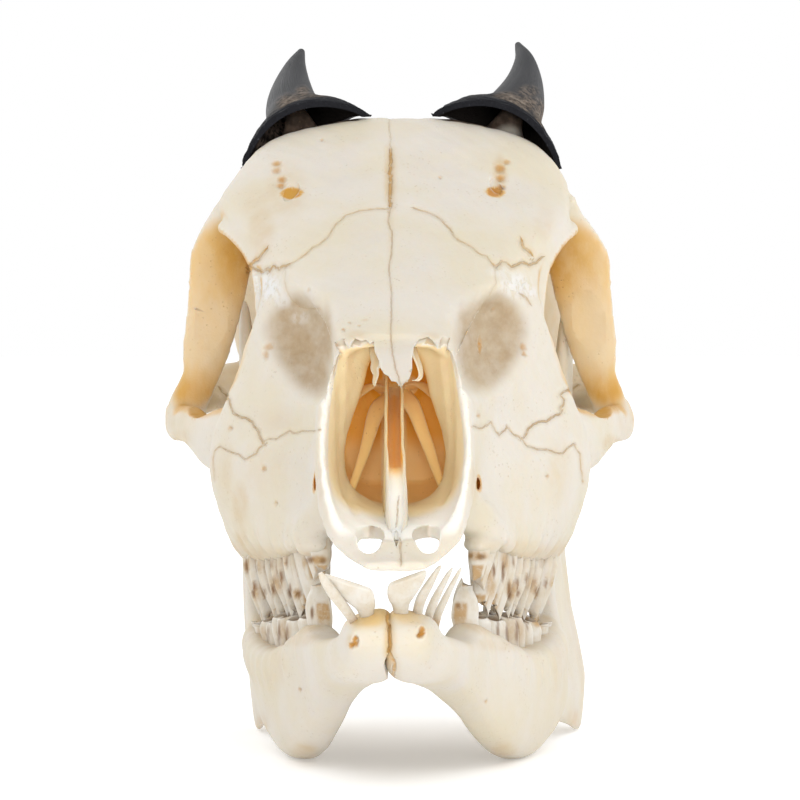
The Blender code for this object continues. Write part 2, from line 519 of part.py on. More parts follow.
def jaw_half(side, home, cutters):
    """A slab whose foot and top follow the jaw's lower edge, tooth row, coronoid process and condyle."""
    rings = []
    for y, foot_x, foot_z, top_x, top_z, half in smooth_rows(JAW, 3):
        middle, rise = (foot_z + top_z) / 2, (top_z - foot_z) / 2
        dish = JAW_DISH * min(1, max(0, (y - JAW_DISH_FROM) / JAW_DISH_RAMP))
        ring = []
        for i in range(JAW_SIDES):
            a = math.tau * i / JAW_SIDES
            up = math.copysign(abs(math.sin(a)) ** (2 / JAW_SQUARE_UP), math.sin(a))
            out = math.copysign(abs(math.cos(a)) ** (2 / JAW_SQUARE_OUT), math.cos(a))
            x = foot_x + (top_x - foot_x) * (up + 1) / 2 + out * half - dish * math.cos(up * math.pi / 2)
            ring.append(jaw_place((x, y, middle + up * rise), side))
        rings.append(ring)
    name = "mandible_left" if side > 0 else "mandible_right"
    slab = loft(name, rings, home)
    knob = ball("condyle", CONDYLE, CONDYLE_RADII, home)
    for vertex in knob.data.vertices:
        x, y, z = np.array(vertex.co) / MM - (0, MUZZLE_Y, 0)
        vertex.co = lay_in([jaw_place((x, y, z), side)])[0]
    bone = fused(name, [slab, knob], FINE_VOXEL, 2, home)
    return cut(thinned(bone, JAW_TRIANGLES, home), [symphysis_face(side, cutters)], home)


def symphysis_face(side, cutters):
    """A block on the far side of the jaw's middle, with half of the clearance left to the face it trims."""
    width, length, height = SYMPHYSIS_BLOCK
    front, foot = SYMPHYSIS_FROM
    near = CLEARANCE / 2
    corners = ((near, foot), (near, foot + height), (near - width, foot + height), (near - width, foot))
    rings = [[jaw_place((x, y, z), side) for x, z in corners] for y in (front, front + length)]
    return loft("symphysis", rings, cutters)


def smooth_rows(rows, per_row):
    """Rows of (position, value, ...) with smooth rows added between them."""
    at = np.interp(np.linspace(0, len(rows) - 1, per_row * (len(rows) - 1) + 1), range(len(rows)),
                   [row[0] for row in rows])
    return [(y, *values) for y, values in zip(at, along(rows, at))]


def cheek_tooth(name, front, back, width, is_upper, side, grow, home):
    """A tooth from its root to its sloping chewing surface, or with some growth, the socket that holds it."""
    middle = (front + back) / 2
    edge = value_along(UPPER_CHEEK_LINE, middle) - (0 if is_upper else LOWER_INSET)
    lean = (value_along(UPPER_CHEEK_LINE, back) - value_along(UPPER_CHEEK_LINE, front)) / (back - front)
    gum = value_along(UPPER_GUM if is_upper else LOWER_GUM, middle)
    tip = value_along(UPPER_TIP, middle)
    away = 1 if is_upper else -1
    half_length, half_width = (back - front) / 2 + grow, width / 2 + grow
    centre = edge - width / 2
    rings = []
    heights = ((gum + away * (TOOTH_ROOT + grow), ROOT_SHARE), (gum - away, GUM_SHARE), (None, TIP_SHARE))
    for height, share in heights:
        ring = []
        for along_y, across in TOOTH_OUTLINE:
            y = middle + along_y * half_length * share
            x = centre + across * half_width * share + lean * (y - middle)
            z = height
            if z is None:
                dip = 0 if abs(along_y) == CUSP_PLACE else CUSP_DEPTH
                z = tip + BITE_SLOPE * (edge - x) + (dip if is_upper else -BITE_GAP - dip)
            ring.append((x, y, z))
        rings.append(ring)
    if is_upper:
        rings = [[(side * x, y, z) for x, y, z in ring] for ring in rings]
    else:
        rings = [[jaw_place(point, side) for point in ring] for ring in rings]
    return loft(name, rings, home)


def front_tooth(name, rows, grow, home):
    """A peg of a tooth that widens into a thin blade, or with some growth, the socket that holds it."""
    rows = [(x, y, z, half_width + grow, half_thickness + grow)
            for x, y, z, half_width, half_thickness in rows]
    if grow:
        x, y, z, *halves = rows[0]
        rows[0] = (x, y + grow, z - grow, *halves)
    return ribbon(name, rows, (1, 0, 0), home, sides=6, per_row=2)


def horn_sheath(name, horn, bone, home, cutters):
    """A keratin cone with a flared rim, hollowed out so that it clears the bone core."""
    sheath = loft(name, horn_rings(horn), home)
    hollow = [(x, y, z, width - SHEATH_WALL, height - SHEATH_WALL) for x, y, z, width, height in horn[:-2]]
    x, y, z, width, height = hollow[0]
    back, up = SHEATH_MOUTH
    hollow.insert(0, (x, y + back, z + up, width, height))
    hollow = loft("sheath_hollow", horn_rings(hollow), cutters)
    return cut(sheath, [hollow, bone], home)


def swollen(bone, by, home):
    """A copy of the bone that stands out all round, in millimetres, to cut what lies on it."""
    copy = bpy.data.objects.new("swollen_bone", bone.data.copy())
    home.objects.link(copy)
    swell = copy.modifiers.new("swell", "DISPLACE")
    swell.strength = by * MM
    swell.mid_level = 0
    remesh = copy.modifiers.new("close up", "REMESH")
    remesh.mode = "VOXEL"
    remesh.voxel_size = FORM_VOXEL * MM
    made = baked(copy, home)
    bpy.data.objects.remove(copy)
    return thinned(made, CRANIUM_TRIANGLES, home)


def main():
    clear_scene()
    home = collection("red_duiker_skull")
    cutters = collection("cutters", is_helper=True)
    bone = bone_material("bone", (0.84, 0.77, 0.64), 0.55)
    enamel = bone_material("tooth", (0.86, 0.81, 0.7), 0.35)
    keratin = bone_material("horn", (0.035, 0.035, 0.04), 0.45)

    skull = cranium(home, cutters)
    jaws = {side: jaw_half(side, home, cutters) for side in (1, -1)}
    clearing = swollen(skull, SHEATH_CLEARANCE, cutters)
    for name, horn in (("horn_sheath_left", HORN_LEFT), ("horn_sheath_right", HORN_RIGHT)):
        finish(horn_sheath(name, horn, clearing, home, cutters), keratin)

    sockets = {"cranium": [], 1: [], -1: []}
    for word, side in (("left", 1), ("right", -1)):
        for rows, row_word, is_upper in ((UPPER_TEETH, "upper", True), (LOWER_TEETH, "lower", False)):
            for tooth_name, *size in rows:
                name = f"{row_word}_{word}_{tooth_name}"
                finish(cheek_tooth(name, *size, is_upper, side, 0, home), enamel)
                socket = cheek_tooth("socket_" + name, *size, is_upper, side, CLEARANCE, cutters)
                sockets["cranium" if is_upper else side].append(socket)
    for name, rows in FRONT_TEETH.items():
        finish(front_tooth(name, rows, 0, home), enamel)
        sockets[1 if name.endswith("left") else -1].append(
            front_tooth("socket_" + name, rows, CLEARANCE, cutters))

    finish(cut(skull, sockets["cranium"], home), bone)
    for side, jaw in jaws.items():
        finish(cut(jaw, sockets[side], home), bone)


main()
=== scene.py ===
# %% [markdown]
# # A small antelope's skull
#
# The model is a cleaned, dried skull of a red duiker, seen from the front, with black horn sheaths, worn teeth and
# the lower jaw resting in its place. The imported CAD model gives the exact place and size of each piece. This lesson
# builds the shapes again in finer detail on the same drawn lines, and then gives them bone, enamel and horn.
#
# First the imported model is loaded. The finished model has to stay inside it.

import json
import math

import bmesh
import bpy
import numpy as np
from mathutils import Matrix, Vector
from mathutils.bvhtree import BVHTree

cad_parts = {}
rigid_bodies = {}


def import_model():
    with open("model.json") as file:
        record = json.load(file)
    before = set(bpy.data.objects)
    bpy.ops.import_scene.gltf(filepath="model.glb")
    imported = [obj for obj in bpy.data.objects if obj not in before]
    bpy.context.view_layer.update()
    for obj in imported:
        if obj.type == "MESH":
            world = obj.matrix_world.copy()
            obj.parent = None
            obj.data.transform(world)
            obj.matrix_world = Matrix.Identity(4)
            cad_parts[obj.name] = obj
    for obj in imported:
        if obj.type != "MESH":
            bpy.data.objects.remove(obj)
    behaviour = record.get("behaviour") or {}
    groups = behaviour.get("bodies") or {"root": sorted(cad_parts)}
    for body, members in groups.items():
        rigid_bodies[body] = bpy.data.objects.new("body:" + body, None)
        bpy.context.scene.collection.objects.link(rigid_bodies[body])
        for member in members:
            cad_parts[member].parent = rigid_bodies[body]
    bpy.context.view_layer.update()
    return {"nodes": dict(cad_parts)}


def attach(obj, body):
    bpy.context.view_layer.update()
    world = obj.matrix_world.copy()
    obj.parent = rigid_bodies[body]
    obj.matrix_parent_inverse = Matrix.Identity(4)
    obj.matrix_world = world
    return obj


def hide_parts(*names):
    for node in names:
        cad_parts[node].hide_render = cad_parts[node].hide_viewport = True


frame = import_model()
print("loaded", len(frame["nodes"]), "nodes")

# %% [markdown]
# ## The camera
#
# The picture is taken from the front with a long lens, a little above the middle of the muzzle, so that the skull
# hardly narrows towards the back. A long lens far away gives that flat look; a short one nearby would make the nose
# look huge. The camera comes first because several marks are placed where they are seen in the picture.

# %% Set up the camera
MM = 0.001
MUZZLE_Y = -80.2  # where the tip of the muzzle lies in the finished frame, in millimetres
FRAME_SIDE = 800  # the picture is this many pixels each way
LENS_PIXELS = 4953  # how many pixels a thing spans that is as wide as it is far away
EYE_BACK, EYE_UP = 650, 65  # the camera's distance before the muzzle and its height, in millimetres
HORIZON = 310  # the row of the picture that lies at the camera's height

camera = bpy.data.objects.new("picture_camera", bpy.data.cameras.new("picture_camera"))
bpy.context.scene.collection.objects.link(camera)
camera.data.sensor_width = 36
camera.data.lens = LENS_PIXELS / FRAME_SIDE * camera.data.sensor_width
camera.data.clip_start, camera.data.clip_end = 0.05, 30
camera.location = (0, (MUZZLE_Y - EYE_BACK) * MM, EYE_UP * MM)
camera.rotation_euler = (math.pi / 2 - math.atan((FRAME_SIDE / 2 - HORIZON) / LENS_PIXELS), 0, 0)
bpy.context.scene.camera = camera
print("camera lens", round(camera.data.lens, 1), "mm")


def seen_at(points):
    """Where points (x, y, z), in millimetres back from the muzzle, show in the picture."""
    points = np.asarray(points, float)
    scale = LENS_PIXELS / (EYE_BACK + points[..., 1])
    across, up = points[..., 0] * scale, (points[..., 2] - EYE_UP) * scale
    return np.stack([FRAME_SIDE / 2 + across, HORIZON - up], -1)


def at_depth(x_px, y_px, y):
    """The x and z of what shows at a pixel and lies this many millimetres behind the muzzle."""
    scale = (EYE_BACK + y) / LENS_PIXELS
    return (x_px - FRAME_SIDE / 2) * scale, EYE_UP - (y_px - HORIZON) * scale


# %% [markdown]
# ## Drawing with lines
#
# A skull has no straight edge to measure from, so it is drawn as a shipwright draws a hull: a few named lines run
# from the muzzle to the back of the head, and sections are strung between them. These helpers turn rows of numbers
# into smooth lines. Working in millimetres keeps the numbers readable; they become metres when a mesh is made.

# %% Smooth lines through a few points
def along(line, at):
    """The smooth values of a line of rows (position, value, ...) at the given positions."""
    table = np.array(line, float)
    knots, values = table[:, 0], table[:, 1:]
    slopes = np.gradient(values, knots, axis=0)
    at = np.clip(np.atleast_1d(at), knots[0], knots[-1])
    i = np.clip(np.searchsorted(knots, at, side="right") - 1, 0, len(knots) - 2)
    width = (knots[i + 1] - knots[i])[:, None]
    t = (at - knots[i])[:, None] / width
    return ((2 * t**3 - 3 * t**2 + 1) * values[i] + (t**3 - 2 * t**2 + t) * width * slopes[i]
            + (3 * t**2 - 2 * t**3) * values[i + 1] + (t**3 - t**2) * width * slopes[i + 1])


def smooth_loop(points, per_span):
    """A closed smooth curve through the points."""
    points = np.array(points, float)
    before, after, second = np.roll(points, 1, 0), np.roll(points, -1, 0), np.roll(points, -2, 0)
    t = np.arange(per_span)[None, :, None] / per_span
    p0, p1, p2, p3 = (p[:, None, :] for p in (before, points, after, second))
    curve = 0.5 * (2 * p1 + (p2 - p0) * t + (2 * p0 - 5 * p1 + 4 * p2 - p3) * t**2
                   + (3 * p1 - p0 - 3 * p2 + p3) * t**3)
    return curve.reshape(-1, points.shape[1])


def smooth_path(points, count):
    """An open smooth curve through the points, evenly spaced by their number."""
    return along([(i, *point) for i, point in enumerate(points)], np.linspace(0, len(points) - 1, count))


def fade(edge0, edge1, value):
    """0 before edge0, 1 after edge1 and smooth between them. The edges may be given the other way round."""
    t = np.clip((np.asarray(value, float) - edge0) / (edge1 - edge0), 0, 1)
    return t * t * (3 - 2 * t)


# %% [markdown]
# ## Skins over rings
#
# Nearly every shape of a skull can be thought of as a stack of rings: a snout, a tooth, a horn, a bony bar. A ring is
# a row of points round the shape, and all rings of one shape hold the same number of them. The loft stretches a skin
# over the stack and closes both ends. Bmesh is used for it, Blender's tool for building a mesh face by face.

# %% Lofts, bars and balls
workshop = bpy.data.collections.new("workshop")  # shapes that are used up on the way
bpy.context.scene.collection.children.link(workshop)


def lay_in(points):
    """Millimetres back from the muzzle to metres in the finished frame."""
    return (np.array(points, float) + (0, MUZZLE_Y, 0)) * MM


def put_up(name, mesh):
    """A new object in the workshop that shows the mesh."""
    obj = bpy.data.objects.new(name, mesh)
    workshop.objects.link(obj)
    return obj


def mesh_object(name, bm):
    bmesh.ops.recalc_face_normals(bm, faces=bm.faces)
    mesh = bpy.data.meshes.new(name)
    bm.to_mesh(mesh)
    bm.free()
    return put_up(name, mesh)


def loft(name, rings):
    """A closed skin over rings that hold the same number of points, with flat ends."""
    bm = bmesh.new()
    rows = [[bm.verts.new(point) for point in lay_in(ring)] for ring in rings]
    for near, far in zip(rows, rows[1:]):
        for i in range(len(near)):
            j = (i + 1) % len(near)
            bm.faces.new((near[i], near[j], far[j], far[i]))
    for end in (rows[0], rows[-1]):
        bmesh.ops.triangulate(bm, faces=[bm.faces.new(end)])
    return mesh_object(name, bm)


def section_loft(name, lines, stations, per_span=5):
    """A body that is the same on both sides, drawn by lines that run along it from the crown to the keel."""
    halves = [along(line, stations) for line in lines]
    rings = []
    for i, y in enumerate(stations):
        half = [values[i] for values in halves]
        outline = half + [(-x, z) for x, z in half[-2:0:-1]]
        rings.append([(x, y, z) for x, z in smooth_loop(outline, per_span)])
    return loft(name, rings)


def oval(centre, half_width, half_height, sides):
    turns = [math.tau * i / sides for i in range(sides)]
    return [Vector(centre) + half_width * math.cos(a) + half_height * math.sin(a) for a in turns]


def run_at(path, i):
    """The direction in which a path runs at one of its places."""
    return Vector(path[min(i + 1, len(path) - 1)][:3] - path[max(i - 1, 0)][:3]).normalized()


def ribbon(name, rows, wide, side=1, sides=20, per_row=7):
    """A bar with an oval section along a smooth path of (x, y, z, half width, half thickness)."""
    path = smooth_path([(side * x, *rest) for x, *rest in rows], per_row * len(rows))
    rings = []
    for i, (x, y, z, half_width, half_thickness) in enumerate(path):
        run = run_at(path, i)
        across = (Vector(wide) - run * Vector(wide).dot(run)).normalized()
        rings.append(oval((x, y, z), across * half_width, run.cross(across) * half_thickness, sides))
    return loft(name, rings)


def ball(name, centre, radii, side=1, turn=0):
    """An oval ball, turned about X by an angle in degrees."""
    bm = bmesh.new()
    bmesh.ops.create_uvsphere(bm, u_segments=48, v_segments=24, radius=1)
    place = Matrix.Translation(lay_in([(side * centre[0], centre[1], centre[2])])[0])
    size = Matrix.Diagonal((*(r * MM for r in radii), 1))
    bmesh.ops.transform(bm, matrix=place @ Matrix.Rotation(math.radians(turn), 4, "X") @ size, verts=bm.verts)
    return mesh_object(name, bm)


# %% [markdown]
# ## Growing together, cutting and thinning
#
# Bones grow out of each other with soft joints. The way taken here is to make each mass as its own closed mesh, to
# join them in one Voxel Remesh, which fuses whatever overlaps, and to smooth the steps away. Openings are cut with
# the Boolean modifier, which leaves the crisp rims that bone really has around an eye socket or a nostril.

# %% Modifiers that fuse, cut and thin a mesh
def baked(obj, name):
    """A new object that holds the mesh as its modifiers leave it. The old object goes."""
    mesh = bpy.data.meshes.new_from_object(obj.evaluated_get(bpy.context.evaluated_depsgraph_get()))
    made = put_up(name, mesh)
    bpy.data.objects.remove(obj)
    return made


def rebuild_in_cells(obj, size):
    """Adds the remesh that rebuilds a body in cells of this size in millimetres."""
    remesh = obj.modifiers.new("cells", "REMESH")
    remesh.mode = "VOXEL"
    remesh.voxel_size = size * MM


def grown_together(name, pieces, voxel, smooth_steps):
    """Overlapping pieces fused into one body, in cells of the voxel's size."""
    bm = bmesh.new()
    for piece in pieces:
        bm.from_mesh(piece.data)
        bpy.data.objects.remove(piece)
    whole = mesh_object(name, bm)
    rebuild_in_cells(whole, voxel)
    soften = whole.modifiers.new("soften", "SMOOTH")
    soften.iterations = smooth_steps
    return baked(whole, name)


def cut(target, cutters, name, used_up=True):
    """The target with every cutter taken out of it. The cutters go, unless they are needed again."""
    for cutter in cutters:
        away = target.modifiers.new(cutter.name, "BOOLEAN")
        away.operation = "DIFFERENCE"
        away.solver = "MANIFOLD"
        away.object = cutter
    made = baked(target, name)
    for cutter in cutters if used_up else ():
        bpy.data.objects.remove(cutter)
    return made


def thinned(target, triangles):
    """The target with about this many triangles: flat places lose the most."""
    target.data.calc_loop_triangles()
    decimate = target.modifiers.new("thin out", "DECIMATE")
    decimate.ratio = min(1.0, triangles / len(target.data.loop_triangles))
    return baked(target, target.name)


# %% [markdown]
# ## The cranium's lines
#
# Each line is a row of (distance back, half width, height) down one side of the head: the crown along the top, the
# edge of the roof, the brow, the flank, the cheek, the gum, the palate and the keel under the middle. The front of a
# duiker's head is a long wedge, widest at the cheekbones, and the braincase behind is an egg that tips downwards.

# %% Lines of the solid head
CROWN = [(0, 0, 31.8), (3, 0, 32.6), (7, 0, 35.4), (13, 0, 40.2), (21, 0, 46.6), (29, 0, 53.6), (37, 0, 60.8),
    (45, 0, 64.8), (60, 0, 71.5), (82, 0, 80.5), (95, 0, 86.3), (105, 0, 91.5), (113, 0, 94.5), (119, 0, 94.5),
    (126, 0, 92.2), (136, 0, 87), (145, 0, 80.5), (151, 0, 74), (156, 0, 66)]
ROOF_EDGE = [(0, 3, 31.8), (3, 5.3, 32.5), (7, 8.2, 35.2), (13, 9.9, 39.9), (21, 10.7, 46), (29, 10.5, 52.8),
    (37, 9.8, 59.3), (45, 10.8, 62.6), (60, 12.3, 68.6), (75, 15.5, 74.5), (85, 18.5, 78.6), (95, 20, 83),
    (105, 20.5, 88.1), (113, 19.5, 91.3), (119, 18, 91.3), (126, 16.5, 88.5), (136, 15.5, 83),
    (145, 13.5, 76.5), (151, 11, 70.5), (156, 6, 64)]
BROW = [(0, 4.3, 31.4), (3, 6, 32), (7, 9, 34.4), (13, 10.5, 38.5), (21, 11.2, 43.5), (29, 11.4, 49),
    (37, 11.5, 54.5), (47, 12.2, 58), (60, 14.6, 62.5), (70, 17.6, 66.5), (78, 20.4, 69.5), (85, 22.8, 73),
    (95, 26, 77.2), (103, 27.5, 79), (109, 25.5, 80.8), (115, 23.2, 81.3), (126, 23.4, 78.5), (136, 22.5, 74),
    (145, 19, 69.5), (151, 14.5, 65), (156, 8, 60)]
FLANK = [(0, 4.6, 31.2), (3, 6.4, 31.6), (7, 9.2, 33.4), (13, 10.9, 36.5), (21, 11.5, 40), (35, 11.9, 45),
    (47, 12.3, 48), (58, 15, 51.5), (68, 19.3, 55.5), (77, 22.6, 58), (84, 22.5, 59), (90, 17, 60),
    (98, 14.3, 62), (106, 16, 64), (114, 20, 66), (124, 25.2, 66), (134, 26.3, 63), (145, 22.5, 61),
    (151, 16.5, 59), (156, 9, 56.5)]
CHEEK = [(0, 4.6, 30.9), (7, 8.3, 33.2), (13, 9.4, 36), (21, 10.3, 37.8), (35, 11.5, 40), (47, 13.4, 40),
    (56, 17.8, 41), (66, 23.2, 41.3), (76, 27, 42.2), (83, 28.1, 42.6), (89, 24.2, 44), (94, 14.5, 49),
    (102, 11, 52), (110, 12.5, 53), (118, 18.5, 54.5), (128, 23, 54), (140, 21.8, 53), (150, 15, 53),
    (156, 8, 53)]
GUM = [(0, 3.7, 30.7), (7, 6.4, 32), (13, 7, 34), (21, 7.3, 35), (34, 8, 35.6), (41, 13.2, 33.4),
    (50, 15.5, 31.2), (58, 17.2, 29.6), (67, 19.5, 28.8), (78, 21.8, 28.5), (87, 22.6, 28.8), (91, 20, 33),
    (95, 12, 41), (104, 9, 45), (115, 10.5, 46), (126, 14.5, 45.5), (138, 14.5, 45), (147, 11, 46),
    (152, 8, 48), (156, 5, 50)]
PALATE = [(0, 2, 30.5), (7, 3.8, 31.8), (13, 4.8, 33.6), (21, 5, 35), (34, 5.6, 35.8), (42, 7.6, 34.4),
    (50, 8.6, 33.9), (65, 11.2, 33.2), (78, 13.6, 32.8), (87, 14.6, 33), (91, 12, 36.5), (95, 8, 41.5),
    (104, 5, 44.6), (126, 7.5, 44.6), (147, 6, 45.4), (152, 4.5, 48), (156, 3, 50.5)]
KEEL = [(0, 0, 30.5), (7, 0, 32), (13, 0, 33.6), (21, 0, 34.9), (34, 0, 36), (50, 0, 36.2), (65, 0, 36.2),
    (78, 0, 36.4), (87, 0, 37.2), (91, 0, 40), (95, 0, 43.2), (104, 0, 45.2), (126, 0, 44.8), (147, 0, 45.4),
    (152, 0, 48.2), (156, 0, 51)]
head_lines = (CROWN, ROOF_EDGE, BROW, FLANK, CHEEK, GUM, PALATE, KEEL)
head_stations = np.concatenate([np.linspace(0, 12, 14), np.linspace(13, 156, 160)])
FORM_VOXEL = 0.5  # millimetres: cells for the first fusing
head = grown_together("head", [section_loft("head", head_lines, head_stations)], FORM_VOXEL, 4)
print("solid head:", len(head.data.vertices), "vertices")


def points_of(obj):
    """The points of a mesh, in millimetres back from the muzzle."""
    flat = np.empty(len(obj.data.vertices) * 3, np.float32)
    obj.data.vertices.foreach_get("co", flat)
    return flat.reshape(-1, 3) / MM - (0, MUZZLE_Y, 0)


def move_points(obj, points):
    obj.data.vertices.foreach_set("co", lay_in(points).astype(np.float32).ravel())
    obj.data.update()


# %% [markdown]
# ## Not quite even
#
# No grown head is the same on both sides. The snout of this one is a little narrower than its drawn lines, and bends
# to the animal's right. The brow over its left eye is flatter, and the bone before each eye is pinched in.

# %% Bend the head a little
def near(points, place, radii):
    """1 at a place, falling softly to 0 at the radii round it."""
    away = np.sqrt((((points - place) / radii) ** 2).sum(1))
    return fade(1, 0, away)


SNOUT_BEND = -0.62  # millimetres, so to the animal's right
SNOUT_NARROWER = 0.07  # as a share of its width
PINCH_BEFORE_EYES, FLATTER_BROW = 1.9, 1.1  # millimetres


def bend(points):
    x, y, z = points.T.copy()
    snout = fade(58, 32, y) * np.maximum(fade(36.5, 40.5, z), fade(42, 36, y))
    x = x * (1 - SNOUT_NARROWER * snout) + SNOUT_BEND * snout
    bent = np.stack([x, y, z], 1)
    for side in (1, -1):
        bent[:, 0] -= side * PINCH_BEFORE_EYES * near(points, (side * 22.5, 83, 66.5), (7, 9, 8))
    bent[:, 0] -= FLATTER_BROW * near(points, (27, 104, 81), (7, 14, 8))
    return bent


move_points(head, bend(points_of(head)))
print("bent the snout by", SNOUT_BEND, "mm")

# %% [markdown]
# ## The hollows of the head
#
# The nose is a deep hollow that starts wide and narrows inwards to an upside-down egg. The eye sockets are balls cut
# out from the side, so their front edges come out as thin, crisp rims. The spinal cord leaves through a hole at the
# back, and the air passage behind the palate. All of them are cut at once with the Boolean modifier.

# %% Cut the nose, the eye sockets and the passages
# Rows of (distance back, half width, height), from the roof of the hollow down to its floor
NOSE_LINES = (
    [(-6, 0, 45), (7, 0, 50), (21, 0, 60), (31, 0, 66), (36.5, 0, 66), (38.5, 0, 61), (43, 0, 61.6),
     (47, 0, 61), (53, 0, 63), (60, 0, 60)],
    [(-6, 4, 45), (3, 4.2, 47), (7, 6.6, 50), (13, 8.2, 54), (21, 9.2, 60), (29, 8.9, 66), (33, 8.4, 66),
     (36.5, 7.6, 66), (38.5, 7.2, 60.2), (43, 5.4, 59.4), (47, 3.2, 58.4), (53, 6, 61), (60, 5, 58)],
    [(-6, 4, 41), (3, 4.2, 42), (7, 6.7, 43), (13, 8.3, 46), (21, 9.2, 50), (29, 8.9, 55), (36.5, 7.6, 56),
     (43, 6, 54.6), (47, 4.9, 53), (53, 8.6, 54), (60, 7, 53)],
    [(-6, 4, 36.5), (3, 4.2, 36.6), (7, 6.2, 37.6), (13, 8.1, 40), (21, 9.2, 42.5), (29, 9, 44), (38, 8.2, 45),
     (47, 7.1, 45), (53, 9.4, 46), (60, 7.6, 46)],
    [(-6, 3.4, 34.2), (3, 3.6, 34.6), (7, 5.4, 35.2), (13, 6.8, 36.6), (21, 7.4, 38), (29, 7, 38.8),
     (38, 6.6, 39.2), (47, 5.8, 39.6), (53, 7.4, 39.8), (60, 6, 41)],
    [(-6, 0, 33.6), (3, 0, 33.9), (7, 0, 34.5), (13, 0, 35.6), (21, 0, 36.4), (35, 0, 37.2), (47, 0, 37.5),
     (53, 0, 38), (60, 0, 40)],
)
ORBIT_CENTRE = (29.3, 95, 62.6)
ORBIT_RADII = (16.2, 15, 13.9)
NOSE_MIDDLE = SNOUT_BEND - 0.08  # where the middle of the nose's hollow lies

nose = section_loft("nose", NOSE_LINES, np.linspace(-6, 60, 110), 8)
shift = points_of(nose)
shift[:, 0] += NOSE_MIDDLE
move_points(nose, shift)
hollows = [
    nose,
    ball("throat", (0, 97, 40.2), (4.6, 14, 4.2), turn=-8),
    ball("palate_front", (SNOUT_BEND, 25, 32.4), (5.4, 15, 2.9)),
    ball("spinal_cord_hole", (0, 158, 56.5), (6.2, 14, 6.2)),
]
hollows += [ball("orbit", ORBIT_CENTRE, ORBIT_RADII, side) for side in (1, -1)]
head = cut(head, hollows, "head")
print("after the cuts:", len(head.data.vertices), "vertices")

# %% [markdown]
# ## Rims, bars and arches
#
# Thin bones stand out from the solid head: the rim of each eye socket, the bar behind it, the cheek arch that runs
# back to the jaw joint, the plates that hang behind the palate, the ear's bony bubble, and the crest across the back
# where the neck muscles held. Each is an oval bar swept along a smooth path, wide where the real one is wide.

# %% Bars, arches and knobs
def mirrored(half):
    """A path from one side to its last place, in the middle, and on in the same way to the other side."""
    return half + [(-place[0], *place[1:]) for place in half[-2::-1]]


BROW_RIM = [(20.2, 80.6, 64), (21.2, 83.5, 71.5), (24.6, 91.5, 76), (27.2, 99, 77.4)]
POSTORBITAL_BAR = [(22.8, 103.5, 80.2, 5, 2.2), (26.8, 108, 74.5, 5, 1.6), (28.2, 110.4, 67, 4.4, 1.4),
    (29.8, 110.8, 59, 3.7, 1.4), (31.9, 110, 52, 3, 1.6), (33.4, 109, 47.5, 2.4, 1.8)]
ZYGOMATIC_ARCH = [(24.5, 83, 45.4, 5.6, 3), (28.2, 91.5, 45.6, 4.4, 2.2), (31.5, 102, 47.4, 3, 2.1),
    (34, 111, 47.8, 3, 2), (33.6, 119, 49.4, 2.8, 1.8), (31.4, 126, 51.2, 2.8, 1.8), (26, 131, 53.4, 3.2, 2.4)]
PTERYGOID = [(6.4, 88, 38, 4.6, 0.9), (6.2, 94, 39.4, 4.4, 0.9), (6, 101, 41.2, 3.6, 0.9),
    (6, 108, 43, 2.4, 0.9)]
NUCHAL_CREST = mirrored([(-22, 140.5, 57), (-21.3, 143.5, 62), (-17.2, 147, 68), (-12, 149.6, 71.8),
                         (-6, 151, 73.6), (0, 151.5, 74.2)])
KNOBS = {
    "arch_knob": ((34.2, 112.5, 47.4), (2, 4.2, 2.8)),
    "jaw_joint": ((25, 126.5, 54.2), (6, 5, 2.8)),
    "ear_bulla": ((10.5, 129.5, 43.4), (4.4, 7, 5.4)),
    "ear_opening": ((21, 136, 50.5), (4, 3.6, 3.4)),
    "paroccipital_process": ((14.6, 146, 43.6), (2.2, 2.8, 7)),
    "occipital_condyle": ((7.4, 155.2, 52), (4, 4.6, 6)),
}


def round_bar(name, points, radius):
    """A round bar along a smooth line."""
    path = smooth_path(points, 7 * len(points))
    rings = []
    for i, place in enumerate(path):
        run = run_at(path, i)
        across = run.cross(Vector((0.3, 0.2, 1))).normalized()
        rings.append(oval(place, across * radius, run.cross(across) * radius, 14))
    return loft(name, rings)


additions = []
for side in (1, -1):
    additions.append(round_bar("brow_rim", [(side * x, y, z) for x, y, z in BROW_RIM], 1.1))
    additions.append(ribbon("postorbital_bar", POSTORBITAL_BAR, (1, 0, 0), side))
    additions.append(ribbon("zygomatic_arch", ZYGOMATIC_ARCH, (0, 0, 1), side))
    additions.append(ribbon("pterygoid", PTERYGOID, (0, 0, 1), side))
    additions += [ball(name, centre, radii, side) for name, (centre, radii) in KNOBS.items()]
    additions.append(ball("nose_back", (0.4 * (side * 2 - 0.6), 60, 56), (3.4, 2.6, 4)))
    additions.append(ball("first_socket", (11.3 - side * 0.3, 43.4, 32.3), (2.2, 3.4, 1.45), side))
additions.append(round_bar("nuchal_crest", NUCHAL_CREST, 1.7))
print(len(additions), "bars, arches and knobs")

# %% [markdown]
# ## Inside the nose
#
# A long bone stands along the floor of the nose. Its upper edge is split into two lips with a trough between them,
# which is shallow and filled at the front and deep at the back. Beside it pale struts lean outwards, the remains of
# the scrolls that warmed the air. All of them are too thin for the cells, so they are set in after the fusing.

